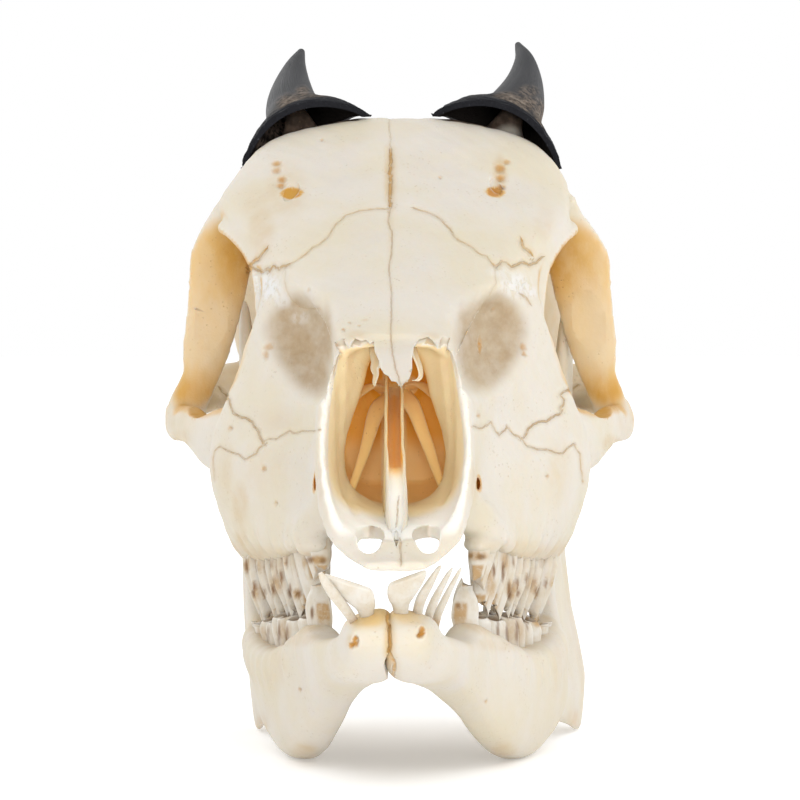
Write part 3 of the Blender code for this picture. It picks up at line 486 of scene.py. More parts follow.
# %% The split plate and the struts in the nose
# Rows of (distance back, middle, half width, height of the edges, height of the trough between them, foot)
TROUGH = [(8, -0.42, 0.3, 34.5, 34.3, 33.4), (11, -0.42, 0.8, 35.3, 34.9, 33.8),
    (15, -0.43, 1.3, 37, 36.3, 34.4), (20, -0.44, 1.42, 39.6, 38.7, 35.2), (25, -0.5, 1.4, 42.4, 41.3, 36),
    (29, -0.62, 1.38, 44.8, 43, 36.4), (33, -0.76, 1.36, 47, 43.4, 36.8), (38, -0.82, 1.34, 49.9, 44.6, 37),
    (46, -0.82, 1.32, 54.4, 48.6, 37.4), (58, -0.8, 1.3, 59.8, 54, 38.4)]
thin_parts = []  # closed plates and bars that are too thin for the cells, and are set into the bone afterwards
rings = []
for i, y in enumerate(np.linspace(8, 58, 90)):
    middle, half, edge, trough, foot = along(TROUGH, y)[0]
    wave = 0.05 * math.sin(y * 0.9)
    lip = min(0.42, half * 0.4)
    half_ring = [(0.02, trough), (half - lip * 1.25, trough + 0.12), (half - lip, (trough + edge) / 2),
                 (half - lip * 0.9, edge - 0.15), (half - lip * 0.5, edge), (half - 0.05, edge - 0.2),
                 (half + 0.06, (edge + foot) / 2), (half + 0.2, foot)]
    rings.append([(middle + wave + x, y, z) for x, z in half_ring]
                 + [(middle + wave - x, y, z) for x, z in half_ring[::-1]])
thin_parts.append(loft("vomer", rings))
STRUTS = [  # (x, y, z, half width, half thickness)
    [(-0.9, 58, 53, 1.4, 0.5), (-2.6, 55, 51.6, 1.35, 0.5), (-3.6, 53.4, 49.9, 1.15, 0.45),
     (-4.3, 52, 47.5, 0.95, 0.4), (-5, 51, 45, 0.8, 0.4), (-5.9, 50, 42.4, 0.65, 0.4),
     (-6.8, 48.6, 40, 0.6, 0.4), (-7.8, 47, 38.6, 0.7, 0.4)],
    [(0, 58, 53.4, 1.4, 0.5), (1.3, 55, 52, 1.35, 0.5), (2.2, 53.4, 50.4, 1.1, 0.45), (3.1, 52, 48, 0.95, 0.4),
     (4.1, 51, 45.4, 0.85, 0.4), (5, 50, 42.8, 0.7, 0.4), (5.9, 48.6, 40.4, 0.6, 0.4), (7, 47, 38.8, 0.7, 0.4)],
    [(-2.4, 58, 53.6, 1, 0.5), (-3.9, 55.6, 54.2, 0.8, 0.4), (-5.6, 54, 53.2, 0.6, 0.35),
     (-7.4, 52.4, 51.4, 0.5, 0.35), (-9.4, 51, 49, 0.5, 0.4)],
    [(1.2, 58, 54, 1, 0.5), (2.8, 55.6, 54.4, 0.8, 0.4), (4.6, 54, 53, 0.6, 0.35), (6.2, 52.4, 51, 0.5, 0.35),
     (8.2, 51, 48.6, 0.5, 0.4)],
]
thin_parts += [ribbon("nose_strut", rows, (1, 0, 0), per_row=10) for rows in STRUTS]
print(len(thin_parts), "plates and struts in the nose")

# %% [markdown]
# ## The broken tip of the nose bones
#
# The nose bones end in a ragged edge with a long middle spike. Its outline is drawn as it shows in the picture, and
# each corner is carried along the camera's ray onto the slope of the nose, so it also sits right from every side.

# %% The ragged nose bones
NASAL_SLOPE = [(18, 52.6), (22.5, 54.6), (27, 56.7), (32, 59.1), (38, 61.7), (44, 64.2), (52, 67.9)]
NASAL_CURVE = 0.019  # how far the bone falls away to the sides, per millimetre squared
NASAL_THICKNESS = 0.9
NASAL_OUTLINE = [(334, 332), (337, 338), (341, 337), (345, 342), (349, 349), (352, 343), (355, 338), (361, 341),
    (366, 340), (370, 344), (374, 341), (375, 352), (379, 361), (380, 367), (384, 374), (388, 376), (391, 381),
    (396, 382), (401, 389), (405, 383), (410, 379), (412, 370), (412, 358), (414, 348), (419, 340), (428, 337),
    (433, 341), (438, 349), (440, 340), (444, 335), (449, 330), (446, 317), (400, 312), (338, 317)]


def onto_nose(x_px, y_px):
    """The place on the slope of the nose bones that shows at that pixel."""
    y = 36.0  # a first guess, which every round brings closer
    for _ in range(14):
        x, z = at_depth(x_px, y_px, y)
        rise = along(NASAL_SLOPE, y)[0, 0] - NASAL_CURVE * x * x - z
        y = min(51, max(18, y - rise / 0.5))
    return x, y, along(NASAL_SLOPE, y)[0, 0] - NASAL_CURVE * x * x


# First a plate that is a little too long goes on, and later the ragged outline is cut out of it
blank_edge = [(333, 322), (337, 343), (352, 355), (370, 366), (382, 386), (400, 397), (417, 384), (424, 356),
    (440, 352), (450, 338), (451, 320), (400, 306)]
edge = [onto_nose(*place) for place in smooth_loop(blank_edge, 4)]
bm = bmesh.new()
tops = [bm.verts.new(p) for p in lay_in(edge)]
feet = [bm.verts.new(p) for p in lay_in([(x, y + 0.4, z - NASAL_THICKNESS) for x, y, z in edge])]
for i in range(len(tops)):
    j = (i + 1) % len(tops)
    bm.faces.new((tops[i], tops[j], feet[j], feet[i]))
bmesh.ops.triangulate(bm, faces=[bm.faces.new(tops), bm.faces.new(feet[::-1])])
additions.append(mesh_object("nasal_tip", bm))
FLAKES = [
    [(-3.3, 42, 60.6, 1.1, 0.25), (-3.3, 40, 59, 0.95, 0.22), (-3.25, 39, 57.8, 0.8, 0.2),
     (-3.5, 38.6, 56.9, 0.62, 0.18), (-3.35, 38.3, 56, 0.42, 0.15), (-3.55, 38.2, 55, 0.3, 0.12),
     (-3.5, 38.1, 54.4, 0.1, 0.08)],
    [(1.7, 42, 60.4, 0.5, 0.25), (2.1, 40, 58.8, 0.45, 0.2), (2.7, 39, 57.2, 0.4, 0.18),
     (2.9, 38.7, 56, 0.34, 0.16), (2.5, 38.7, 55.3, 0.26, 0.14), (1.7, 38.9, 55.2, 0.12, 0.08)],
]
thin_parts += [ribbon("nasal_flake", rows, (1, 0, 0), sides=10, per_row=8) for rows in FLAKES]


def seen_prism(name, outline, front, back):
    """A block whose outline is drawn in the picture, carried back along the camera's rays."""
    rings = []
    for y in (front, back):
        corners = [at_depth(x_px, y_px, y) for x_px, y_px in outline]
        rings.append([(x, y, z) for x, z in corners])
    return loft(name, rings)


ragged = NASAL_OUTLINE[:-3] + [(449, 338), (444, 362), (430, 398), (402, 412), (372, 398), (350, 372), (337, 345)]
ragged_cut = seen_prism("ragged_cut", ragged, 14, 39.2)
print("nose bones drawn with", len(edge), "corners")

# %% [markdown]
# ## The horns' bone cores, and one grown bone
#
# Under each black sheath a bone core grows out of the forehead. With it the cranium's pieces are complete. They are
# fused in fine cells, so that a plate under a millimetre thick still holds, and only then are the small holes cut.

# %% Fuse the cranium
HORN_LEFT = [(14.9, 113.8, 91.1, 10.8, 6.1), (15.1, 115.6, 91.8, 9.6, 5.9), (16, 119, 93, 7, 5.5),
    (17.2, 123, 94.8, 5, 4.9), (18.6, 128.5, 97.4, 4.1, 4.1), (19.7, 135.5, 101, 2.9, 2.8),
    (19.9, 142.5, 104.8, 1.6, 1.6), (19, 148.6, 107.7, 0.5, 0.5)]
HORN_RIGHT = [(-14.5, 113.8, 91, 10.8, 6.1), (-14.6, 115.6, 91.7, 9.6, 5.9), (-15.1, 119, 92.9, 7, 5.5),
    (-16, 123, 94.6, 5, 4.9), (-16.9, 128, 97, 4.1, 4), (-17.1, 135, 100.3, 3, 2.8),
    (-16.7, 142, 103.8, 1.7, 1.6), (-15.9, 148, 106.5, 0.6, 0.6)]
HORN_RIM_TILT = math.radians(24)  # the rim follows the slope of the forehead
FINE_VOXEL = 0.45


def horn_axes(path, i, tilt):
    """The two directions across a horn at one of its places."""
    run = run_at(path, i)
    across = Vector((math.cos(tilt), 0, -math.sin(tilt)))
    across = (across - run * across.dot(run)).normalized()
    return across, run.cross(across)


for horn in (HORN_LEFT, HORN_RIGHT):
    x, y, z = horn[1][:3]
    core = [(x, y + 3, z - 8, 5, 3.6), (x, y + 5, z - 3.4, 5, 3.2)]
    core += [(x, y, z, width * 0.6 - 1, height * 0.6 - 0.9) for x, y, z, width, height in horn[3:6]]
    path = smooth_path(core, 20)
    tilt = math.copysign(HORN_RIM_TILT, x)
    rings = []
    for i, (x, y, z, width, height) in enumerate(path):
        across, up = horn_axes(path, i, tilt)
        rings.append(oval((x, y, z), across * width, up * height, 28))
    additions.append(loft("horn_core", rings))

bone = grown_together("cranium_bone", [head, *additions], FINE_VOXEL, 3)
# Small pushes to the animal's left on the brows and arches: (centre, radii, millimetres)
PUSHES = [((28.5, 104, 78), (8, 14, 7), -1.7), ((-28, 104, 76.5), (7, 14, 6), 0.7),
          ((34, 110, 55), (5, 9, 6), -1.0), ((-34, 110, 55.5), (5, 9, 4.5), 0.8),
          ((-35, 112, 50.5), (5, 6, 3.5), -0.6)]
moved = points_of(bone)
for place, radii, shift in PUSHES:
    moved[:, 0] += shift * near(moved, place, radii)
move_points(bone, moved)
LOWEST, HIGHEST = (-36.1, 0.36, 0.1), (36.1, 159.5, 108)  # the finished pieces stay inside these limits
HOLES = [  # small holes for nerves and vessels: name, centre, radii, turn about X in degrees
    ("cheek_foramen", (-11.5, 41, 41), (1.25, 2.6, 1.25), 0),
    ("cheek_foramen", (10.4, 41.4, 40.7), (0.85, 3, 1.1), 0),
    ("brow_foramen", (14.2, 92, 82.6), (1.05, 4.6, 0.62), 34),
    ("brow_foramen", (-16.2, 92, 82.5), (1.3, 4.6, 0.62), 34),
    ("incisive_fissure", (3.5, 9.8, 34), (2, 6.6, 3.3), 0),
    ("incisive_fissure", (-3.95, 9.8, 34), (2, 6.6, 3.3), 0),
    ("palate_slit", (-0.5, 9, 34), (0.34, 4.4, 2.4), 0)]
small_holes = [ragged_cut]
small_holes += [ball("orbit", ORBIT_CENTRE, ORBIT_RADII, side) for side in (1, -1)]
small_holes += [ball(name, centre, radii, 1, turn) for name, centre, radii, turn in HOLES]
bone = cut(bone, small_holes, "cranium_bone")
print("fused cranium:", len(bone.data.vertices), "vertices")

# %% [markdown]
# ## Values stored on the points
#
# A mesh can carry named values, one number for each of its points, and a material can read them. They say where a
# stain, a crack or a rough rim lies, which a cloudy texture alone couldn't know.

# %% Store a value on every point
def paint(obj, name, values):
    layer = obj.data.attributes.new(name, "FLOAT", "POINT")
    layer.data.foreach_set("value", np.asarray(values, np.float32))


# %% [markdown]
# ## Finding what the camera sees
#
# Many small marks are placed by where they show in the picture: hollows before the eyes, pits, cracks and the seams
# between the bones. For that, each point of the mesh is carried into the picture, and a ray from the camera tells
# whether it is seen or lies behind something.

# %% Points, normals and what is seen
def normals_of(obj):
    flat = np.empty(len(obj.data.vertices) * 3, np.float32)
    obj.data.vertex_normals.foreach_get("vector", flat)
    return flat.reshape(-1, 3).astype(float)


EYE = Vector((0, (MUZZLE_Y - EYE_BACK) * MM, EYE_UP * MM))


def seen_share(obj, slack=0.5):
    """1 for each point that the camera sees, 0 for a hidden one."""
    tree = BVHTree.FromObject(obj, bpy.context.evaluated_depsgraph_get())
    spots, normals = lay_in(points_of(obj)), normals_of(obj)
    rays = spots - np.array(EYE)
    distance = np.linalg.norm(rays, axis=1)
    rays /= distance[:, None]
    seen = np.zeros(len(spots))
    for i in np.flatnonzero((rays * normals).sum(1) < 0.12):
        hit = tree.ray_cast(EYE, Vector(rays[i]))
        if hit[3] is None or hit[3] > distance[i] - slack * MM:
            seen[i] = 1
    return seen


def to_path(places, path, reach):
    """Distance of each place to a path, and the same below 0 on one side of it. Both may be flat or in space."""
    places, path = np.asarray(places, float), np.asarray(path, float)
    best, side = np.full(len(places), reach * 9.0), np.full(len(places), reach * 9.0)
    inside = ((places > path.min(0) - reach) & (places < path.max(0) + reach)).all(1)
    close = np.flatnonzero(inside)
    for a, b in zip(path, path[1:]):
        step = b - a
        length = max(1e-6, float(np.linalg.norm(step)))
        t = np.clip(((places[close] - a) @ step) / length**2, 0, 1)
        away = places[close] - (a + t[:, None] * step)
        distance = np.linalg.norm(away, axis=1)
        nearer = distance < best[close]
        chosen = close[nearer]
        best[chosen] = distance[nearer]
        turn = step[0] * away[nearer, 1] - step[1] * away[nearer, 0]
        side[chosen] = np.where(turn < 0, -1, 1) * distance[nearer]
    return best, side


def from_spot(places, x, y, half_width, half_height):
    """How far each place lies from an oval spot, counted in the spot's half widths and heights."""
    return np.hypot((places[:, 0] - x) / half_width, (places[:, 1] - y) / half_height)


def blot(places, spots):
    """How strongly each place lies in any of the spots (x, y, half width, half height, strength)."""
    total = np.zeros(len(places))
    for *spot, strength in spots:
        total = np.maximum(total, strength * fade(1.15, 0.35, from_spot(places, *spot)))
    return total


# %% [markdown]
# ## Carving
#
# Now the big mesh is carved like clay: points are pushed in or pulled out along their normals. The deepest hollow is
# the one before each eye, where a scent gland lay. It has a crisp edge towards the nose bones and fades out towards
# the cheek. Its outline is drawn as it shows in the picture.

# %% The outlines of the gland hollows
GLAND_HOLLOWS = {  # outlines in the picture, drawn round each hollow
    1: [(296, 296), (312, 304), (324, 312), (332, 334), (331, 350), (328, 376), (318, 394), (300, 386),
        (284, 366), (272, 344), (270, 322), (280, 304)],
    -1: [(497, 294), (480, 300), (462, 312), (456, 332), (457, 350), (464, 374), (476, 388), (494, 384),
        (510, 366), (522, 344), (524, 322), (512, 302)],
}


def inside_share(places, outline, soft):
    """1 well inside a closed outline, 0 outside it, smooth over the soft width."""
    outline = smooth_loop(outline, 5)
    a, b = outline, np.roll(outline, -1, 0)
    best = np.full(len(places), 1e9)
    crossings = np.zeros(len(places), int)
    x, y = places.T
    for (ax, ay), (bx, by) in zip(a, b):
        step = np.array((bx - ax, by - ay))
        t = np.clip(((x - ax) * step[0] + (y - ay) * step[1]) / max(1e-9, step @ step), 0, 1)
        best = np.minimum(best, np.hypot(x - ax - t * step[0], y - ay - t * step[1]))
        if ay != by:
            crossings += ((ay > y) != (by > y)) & (x < ax + (y - ay) / (by - ay) * (bx - ax))
    return fade(-soft, soft, np.where(crossings % 2 == 1, best, -best))


# %% [markdown]
# ## Feeling the surface
#
# An edge or a hollow can be felt from the mesh itself: if the neighbours of a point lie above its tangent plane, the
# surface is hollow there. Drawing each point towards the middle of its neighbours smooths a surface, and a share for
# each point keeps that to the places that are worn or grown together.

# %% Hollows, edges and smoothing
def edges_of(obj):
    """The points at the two ends of every edge, and how many edges meet at each point."""
    pairs = np.empty(len(obj.data.edges) * 2, np.int32)
    obj.data.edges.foreach_get("vertices", pairs)
    a, b = pairs.reshape(-1, 2).T
    many = len(obj.data.vertices)
    return a, b, np.maximum(np.bincount(a, minlength=many) + np.bincount(b, minlength=many), 1)


def hollowness(obj, rounds=2):
    """Above 0 where the surface is hollow, below 0 on an edge, about -1 to 1."""
    points, normals = points_of(obj), normals_of(obj)
    a, b, count = edges_of(obj)
    many = len(points)
    step = points[b] - points[a]
    length = np.linalg.norm(step, axis=1) + 1e-6
    bend = (np.bincount(a, (step * normals[a]).sum(1) / length, many)
            - np.bincount(b, (step * normals[b]).sum(1) / length, many)) / count
    for _ in range(rounds):
        bend = (bend + (np.bincount(a, bend[b], many) + np.bincount(b, bend[a], many)) / count) / 2
    return np.clip(bend * 4, -1, 1)


def softened(obj, share, rounds):
    """The points of a mesh, each drawn towards the middle of its neighbours by its share, again and again."""
    points = points_of(obj)
    a, b, count = edges_of(obj)
    many = len(points)
    for _ in range(rounds):
        sums = [np.bincount(a, points[b, k], many) + np.bincount(b, points[a, k], many) for k in range(3)]
        middle = np.stack(sums, 1) / count[:, None]
        points += (middle - points) * share[:, None]
    return points


# %% [markdown]
# ## Worn smooth and grown together
#
# The lip round the nose is worn smooth, all but the ragged tip of the nose bones. The knobs under and behind the
# braincase were made as balls, so the steps where they meet it are smoothed until they look grown.

# %% Smooth the lip of the nose and the knobs
# The outer edge of the lip round the nose, as it shows in the picture
NOSE_LIP = [(336, 341), (324, 385), (319, 432), (319, 478), (327, 515), (340, 543), (364, 560), (390, 565),
    (420, 562), (442, 554), (456, 541), (465, 517), (471, 491), (475, 460), (469, 404), (456, 345), (440, 330),
    (400, 326), (352, 330)]
places = points_of(bone)
from_middle = np.abs(places[:, 0] - SNOUT_BEND)
lip = fade(12.6, 11.4, from_middle) * fade(3, 5.5, from_middle)
lip = lip * fade(46, 42, places[:, 1]) * fade(32, 33, places[:, 2])
slope = along(NASAL_SLOPE, places[:, 1])[:, 0]
lip *= fade(-1, -2.4, places[:, 2] - slope + NASAL_CURVE * places[:, 0] ** 2)
move_points(bone, softened(bone, 0.5 * lip, 14))
places = points_of(bone)
joined = np.zeros(len(places))
for centre, radii in KNOBS.values():
    for side in (1, -1):
        joined = np.maximum(joined, near(places, np.array(centre) * (side, 1, 1), np.array(radii) + 3.5))
move_points(bone, softened(bone, 0.5 * joined, 36))
print("smoothed the lip of the nose and the knobs")

# %% [markdown]
# ## Pressing and pulling
#
# One sum, "lift", says how far each point moves along its normal: below 0 for the gland hollows and the grooves
# beside the nose, above 0 for crests, tooth sockets and the line where the chewing muscle held. Low bumps and dents,
# which no grown bone is without, come from a few slow waves.

# %% Carve the face
HOLLOW_DEPTH, CREST_RISE, GROOVE_DEPTH = 2.7, 0.45, 0.35
SOCKET_RISE, SOCKET_DIP, TEMPLE_LINE_RISE = 0.4, 0.3, 0.5
NOSE_GROOVES = [
    [(344, 350), (341, 372), (340, 410), (340, 441), (342, 470), (348, 496), (356, 512)],
    [(444, 352), (448, 380), (451, 410), (453, 440), (451, 462), (447, 484), (441, 502)],
]
UPPER_ROW = [(42, 13.2), (50, 15.4), (57, 17.4), (65, 19.4), (72, 21), (80, 23), (86, 24)]
SOCKET_BULGES = (43, 49, 55.5, 61, 65.5, 70, 74.5, 79.5, 84)  # how far back each root makes a bulge


def carve(obj):
    points, normals, seen = points_of(obj), normals_of(obj), seen_share(obj, 1.5)
    spots = seen_at(points)
    x, y, z = points.T
    lift = np.zeros(len(points))
    for side, outline in GLAND_HOLLOWS.items():
        lift -= HOLLOW_DEPTH * seen * inside_share(spots, outline, 15)
        crest = to_path(spots, smooth_path(outline[1:6], 30), 30)[0]
        lift += CREST_RISE * seen * fade(13, 2, crest)
    # the ridge of the tooth sockets, and the hollow above it
    for side in (1, -1):
        row = [(side * (x0 + 0.4), y0, 33.5) for y0, x0 in UPPER_ROW]
        away = to_path(points, row, 9)[0]
        lift += 0.5 * fade(5, 1, away) * fade(34, 40, y) * fade(80, 66, y)
        for y0 in SOCKET_BULGES:
            x0 = np.interp(y0, [r[0] for r in UPPER_ROW], [r[1] for r in UPPER_ROW])
            bulge = near(points, (side * (x0 + 0.6), y0, 31.5), (3, 2.2, 5))
            lift += SOCKET_RISE * bulge * (1 if y0 < 75 else 0.4)
            lift -= SOCKET_DIP * near(points, (side * (x0 + 0.6), y0 + 2.6, 31), (3, 1.4, 4))
    # the line where the chewing muscle held, over the braincase
    for side in (1, -1):
        temple = [(side * 24, 108, 83), (side * 20, 116, 89), (side * 15.5, 126, 89), (side * 13.5, 136, 84.5),
                  (side * 14.5, 145, 76)]
        lift += TEMPLE_LINE_RISE * fade(3.5, 0.5, to_path(points, smooth_path(temple, 24), 6)[0])
    # the soft groove inside each lip of the nose
    for path in NOSE_GROOVES:
        lift -= GROOVE_DEPTH * seen * fade(6, 1, to_path(spots, path, 14)[0])
    lift += 0.16 * np.sin(x * 0.45 + 1.3) * np.sin(y * 0.31) * np.cos(z * 0.4)
    lift += 0.05 * np.sin(x * 1.7 + y * 0.9) * np.sin(z * 1.5 + 0.6)
    return np.clip(points + normals * lift[:, None], LOWEST, HIGHEST), seen


new_points, seen = carve(bone)
move_points(bone, new_points)
print("carved", len(seen), "points,", int(seen.sum()), "of them seen from the front")

# %% [markdown]
# ## Seams, slots and pits
#
# The bones of a skull meet in seams that show as fine, wandering cracks. They are drawn here as paths in the
# picture. The wide ones and the little holes are cut in the mesh; the fine ones become a distance that is stored on
# the points, from which the bone's material draws a sharp line.

# %% Paths of the seams and pits in the picture
FACE_SEAMS = {  # (half width in pixels, strength), path
    "midline_top": ((0.8, 0.35), [(390, 117), (389, 128), (391, 138), (390, 150)]),
    "midline_slot": ((1.9, 1.0), [(390, 150), (391, 160), (389.6, 172), (391, 182), (390, 194), (390.3, 206)]),
    "midline": ((0.9, 0.5), [(390.3, 206), (388, 221.6), (392.2, 233), (391.3, 254.7), (388.9, 268),
        (391.3, 291), (391.3, 316), (390.5, 332.7), (392.2, 352), (395, 366), (401, 386)]),
    "brow_right_of_skull": ((1.0, 0.6), [(389.7, 208.3), (374, 209), (359, 210.8), (345.7, 215.8), (339, 222),
        (334, 226.5), (331, 233), (327.5, 237.3), (319.2, 244.8), (312, 248), (306, 253.9), (296, 260.5),
        (289.4, 264.7)]),
    "brow_left_of_skull": ((1.0, 0.65), [(413.2, 208.3), (428, 212.4), (436, 216), (441.4, 219.9), (446, 225),
        (449.7, 228.2), (453, 235), (457.9, 239.8), (469.6, 245.6), (479.5, 253.9), (487, 257),
        (492.8, 263.8)]),
    "tear_bone_right": ((1.5, 0.85), [(289.4, 264.7), (282.7, 266.3), (279, 270), (274, 266), (270, 271),
        (267.8, 268.8), (263, 272), (257.8, 270.5), (253, 268), (249.6, 271.3)]),
    "tear_bone_left": ((1.5, 0.85), [(492.8, 263.8), (497, 266), (502, 261), (506, 262.2), (511, 267),
        (517.6, 264.7), (523, 262), (529.3, 265.5), (536, 262), (541, 258)]),
    "slit_right": ((1.7, 1.0), [(250.4, 266.3), (253, 262), (257.8, 259.7), (261, 255), (266.1, 248.9)]),
    "slit_left": ((1.7, 1.0), [(521, 240.6), (522, 244), (524.3, 248.1), (528, 250), (530.9, 253.9)]),
    "rim_slit_left": ((1.2, 0.6), [(521, 294.5), (526, 298), (530, 303.6)]),
    "tear_duct_right": ((0.9, 0.28), [(289, 264), (286, 269.7), (284.4, 279.6), (286.9, 291.2), (292.7, 301.2),
        (304.3, 308.6), (319, 308.6)]),
    "tear_duct_left": ((0.9, 0.25), [(494.4, 266.3), (496, 283), (490, 294)]),
    "cheek_right_1": ((1.2, 0.8), [(219, 388), (223, 392), (229, 399), (230.6, 406), (233.5, 413), (239, 416.6),
        (247, 418.6), (252.4, 422), (254, 426.7), (258, 430), (259.3, 435.3), (261, 439.3), (264, 444)]),
    "cheek_right_2": ((1.0, 0.6), [(264, 444), (258, 449.6), (256, 454), (249.5, 456.5), (245, 460),
        (240.4, 455.4), (233.5, 453), (224.3, 449), (219.7, 446.2), (215, 450.8), (212.8, 460), (214, 470.3),
        (214.5, 479.5)]),
    "cheek_right_3": ((0.9, 0.5), [(264, 441.6), (269, 438.7), (276, 439.3), (281.7, 435.8), (289.7, 431),
        (294.9, 433.5), (301.2, 431.3), (312.7, 431.3), (319, 430)]),
    "cheek_left_1": ((1.2, 0.8), [(577, 386), (572, 389), (565, 391), (560, 395), (564, 399), (563, 405),
        (560, 408), (563, 410.6), (560, 413.5), (551, 418), (546.5, 421.5), (541, 421), (534, 424), (528, 429),
        (524.7, 437)]),
    "cheek_left_2": ((1.0, 0.65), [(524.7, 437), (521, 438), (512, 433.5), (508, 426.7), (503, 431.3),
        (499.4, 435.8), (494.8, 430), (490.8, 422), (486.8, 425.5), (481, 428.4), (474, 426.7)]),
    "cheek_left_3": ((1.0, 0.65), [(521, 438), (527, 446), (536, 449), (547.7, 450), (557, 453), (562.6, 453.6),
        (567, 448.5), (573.5, 444), (577, 449.6), (580, 454), (581, 467), (583, 482)]),
    "front_bone_middle": ((1.1, 0.6), [(400.6, 540), (400, 548), (401, 556), (400.6, 564)]),
}
# (x, y, half width, half height) of dark pits in the picture, and how deep they are in millimetres
FACE_PITS = [(282, 180, 3.4, 2.6, 0.5), (281, 186, 3.2, 2.2, 0.5), (276.6, 171, 3.6, 2.4, 0.35),
    (276.6, 163.6, 3.6, 1.9, 0.35), (501, 187.3, 3.6, 1.6, 0.5), (500, 178.6, 3.4, 2.6, 0.5),
    (500, 168.8, 3.8, 3.2, 0.5), (506.5, 162.3, 3, 2, 0.4), (343, 330, 1.4, 1.4, 0.4), (345.5, 327, 1, 1, 0.3),
    (350, 323, 1.1, 1.1, 0.3), (365, 320, 1.4, 1.2, 0.3), (359, 326, 1, 1, 0.3), (322, 140, 1.4, 1.2, 0.3),
    (440, 178, 1.3, 1.3, 0.3), (264, 468.6, 2.2, 1.8, 0.4), (276, 503.6, 1.5, 1.8, 0.3),
    (230.6, 428.4, 2, 1.6, 0.4), (478, 415, 1.8, 1.5, 0.4), (547.4, 476.6, 1.8, 1.5, 0.4),
    (635, 420, 1.4, 1.8, 0.3), (269, 347, 4, 2.4, 0.3), (266.4, 355, 2.2, 4, 0.3), (522.8, 347, 2.6, 3.4, 0.35),
    (523.6, 354, 1.8, 2, 0.4), (479.5, 345, 1.3, 6, 0.6), (309, 290, 1.2, 1.2, 0.3), (492, 310, 1.3, 1.1, 0.3)]


def cut_seams(obj, seen):
    """Presses the slots and pits into the mesh itself."""
    points, normals = points_of(obj), normals_of(obj)
    spots = seen_at(points)
    depth = np.zeros(len(points))
    for (half, strength), path in FACE_SEAMS.values():
        away = to_path(spots, path, 12)[0]
        depth = np.maximum(depth, seen * (0.12 + 0.3 * strength * strength) * fade(half + 2.4, half * 0.3, away))
    for *spot, deep in FACE_PITS:
        depth = np.maximum(depth, seen * deep * fade(1.9, 0.3, from_spot(spots, *spot)))
    return points - normals * depth[:, None]


move_points(bone, cut_seams(bone, seen))

# %% [markdown]
# ## Spending the triangles well
#
# The fused mesh is too heavy. What the camera sees keeps its fine cells, and the Decimate modifier thins
# out the rest, guided by a vertex group. Then the thin plates and struts of the nose are set in.

# %% Thin out the unseen sides and set in the thin plates
CRANIUM_TRIANGLES = 186000


def thin_unseen(obj, seen, triangles):
    group = obj.vertex_groups.new(name="may_go")
    weights = np.where(seen > 0.5, 0.25, 1.0)
    for value in (0.25, 1.0):
        group.add(np.flatnonzero(weights == value).tolist(), value, "REPLACE")
    obj.data.calc_loop_triangles()
    decimate = obj.modifiers.new("thin out", "DECIMATE")
    decimate.vertex_group = group.name
    decimate.vertex_group_factor = 0.6
    decimate.ratio = triangles / len(obj.data.loop_triangles)
    return baked(obj, obj.name)


bone = thin_unseen(bone, seen, CRANIUM_TRIANGLES)
bm = bmesh.new()
bm.from_mesh(bone.data)
for part in thin_parts:
    bm.from_mesh(part.data)
    bpy.data.objects.remove(part)
bmesh.ops.triangulate(bm, faces=bm.faces)
bpy.data.objects.remove(bone)
bone = mesh_object("cranium_bone", bm)
print("cranium:", len(bone.data.polygons), "triangles")

# %% [markdown]
# ## The lower jaw
#
# A duiker's lower jaw is two long, low bones that meet at the chin in a joint that never closes, so a thin crack
# shows between them. Each half is a slab that is drawn by its foot and its top edge, thick under the teeth and thin
# as card where the tall blade of the coronoid process rises behind the eye. The jaw isn't quite straight under the
# cranium, so every point goes through one small function that shifts and swings it.

# %% Lines of the lower jaw
JAW_SHIFT = -1.5  # the lower jaw sits a little to one side at the front
JAW_YAW = 0.0205  # and swings the other way towards the back, in millimetres per millimetre
JAW_SWAY = 0.052  # its foot is bent to that side, in millimetres per millimetre below this height
JAW_SWAY_HEIGHT = 25
JAW_LENGTH = 110
LEFT_IN, LEFT_TIP = 1.1, 0.16  # the left half stands further in, and its foot is tipped outwards
JAW = [(2.8, 2.3, 20.6, 2.5, 23.6, 2.6), (5, 2.4, 18.6, 2.6, 24, 3.4), (9, 2.5, 16.6, 2.9, 23.6, 3.7),
    (14, 3.3, 14.8, 3.9, 22.2, 4.4), (20, 4.6, 14.2, 5.5, 21, 4.2), (28, 6.7, 12.6, 7.8, 20, 3.4),
    (36, 8.4, 9.8, 9.6, 20, 3.1), (42, 9.6, 7, 10.8, 21.2, 3), (50, 11.8, 3.6, 13.2, 19, 3.5),
    (58, 13.4, 1.2, 15.6, 17, 3.6), (66, 14.5, 0.05, 17.6, 16.2, 3.7), (73, 15.5, 0.1, 19, 16.4, 3.9),
    (80, 16.8, 1.1, 20.2, 17.2, 3.9), (88, 18.6, 2.6, 21.1, 18.6, 3.4), (96, 20.4, 3, 21.8, 21.6, 2.5),
    (103, 22, 2.2, 22.8, 34, 2), (108, 23.1, 1.2, 23.8, 50, 1.7), (112, 23.7, 0.4, 24.5, 62, 1.5),
    (115.5, 24.1, 0.05, 25, 66.5, 1.3), (118, 24.2, 0.2, 25.1, 62, 1.3), (120, 24.2, 0.7, 25.1, 53, 1.4),
    (122.5, 24.2, 2, 25, 49.2, 1.8), (126, 24.2, 5, 25, 49.8, 2.3), (129, 24.2, 11, 25, 48.4, 2.1),
    (131.5, 24.3, 21, 25, 43, 1.4)]
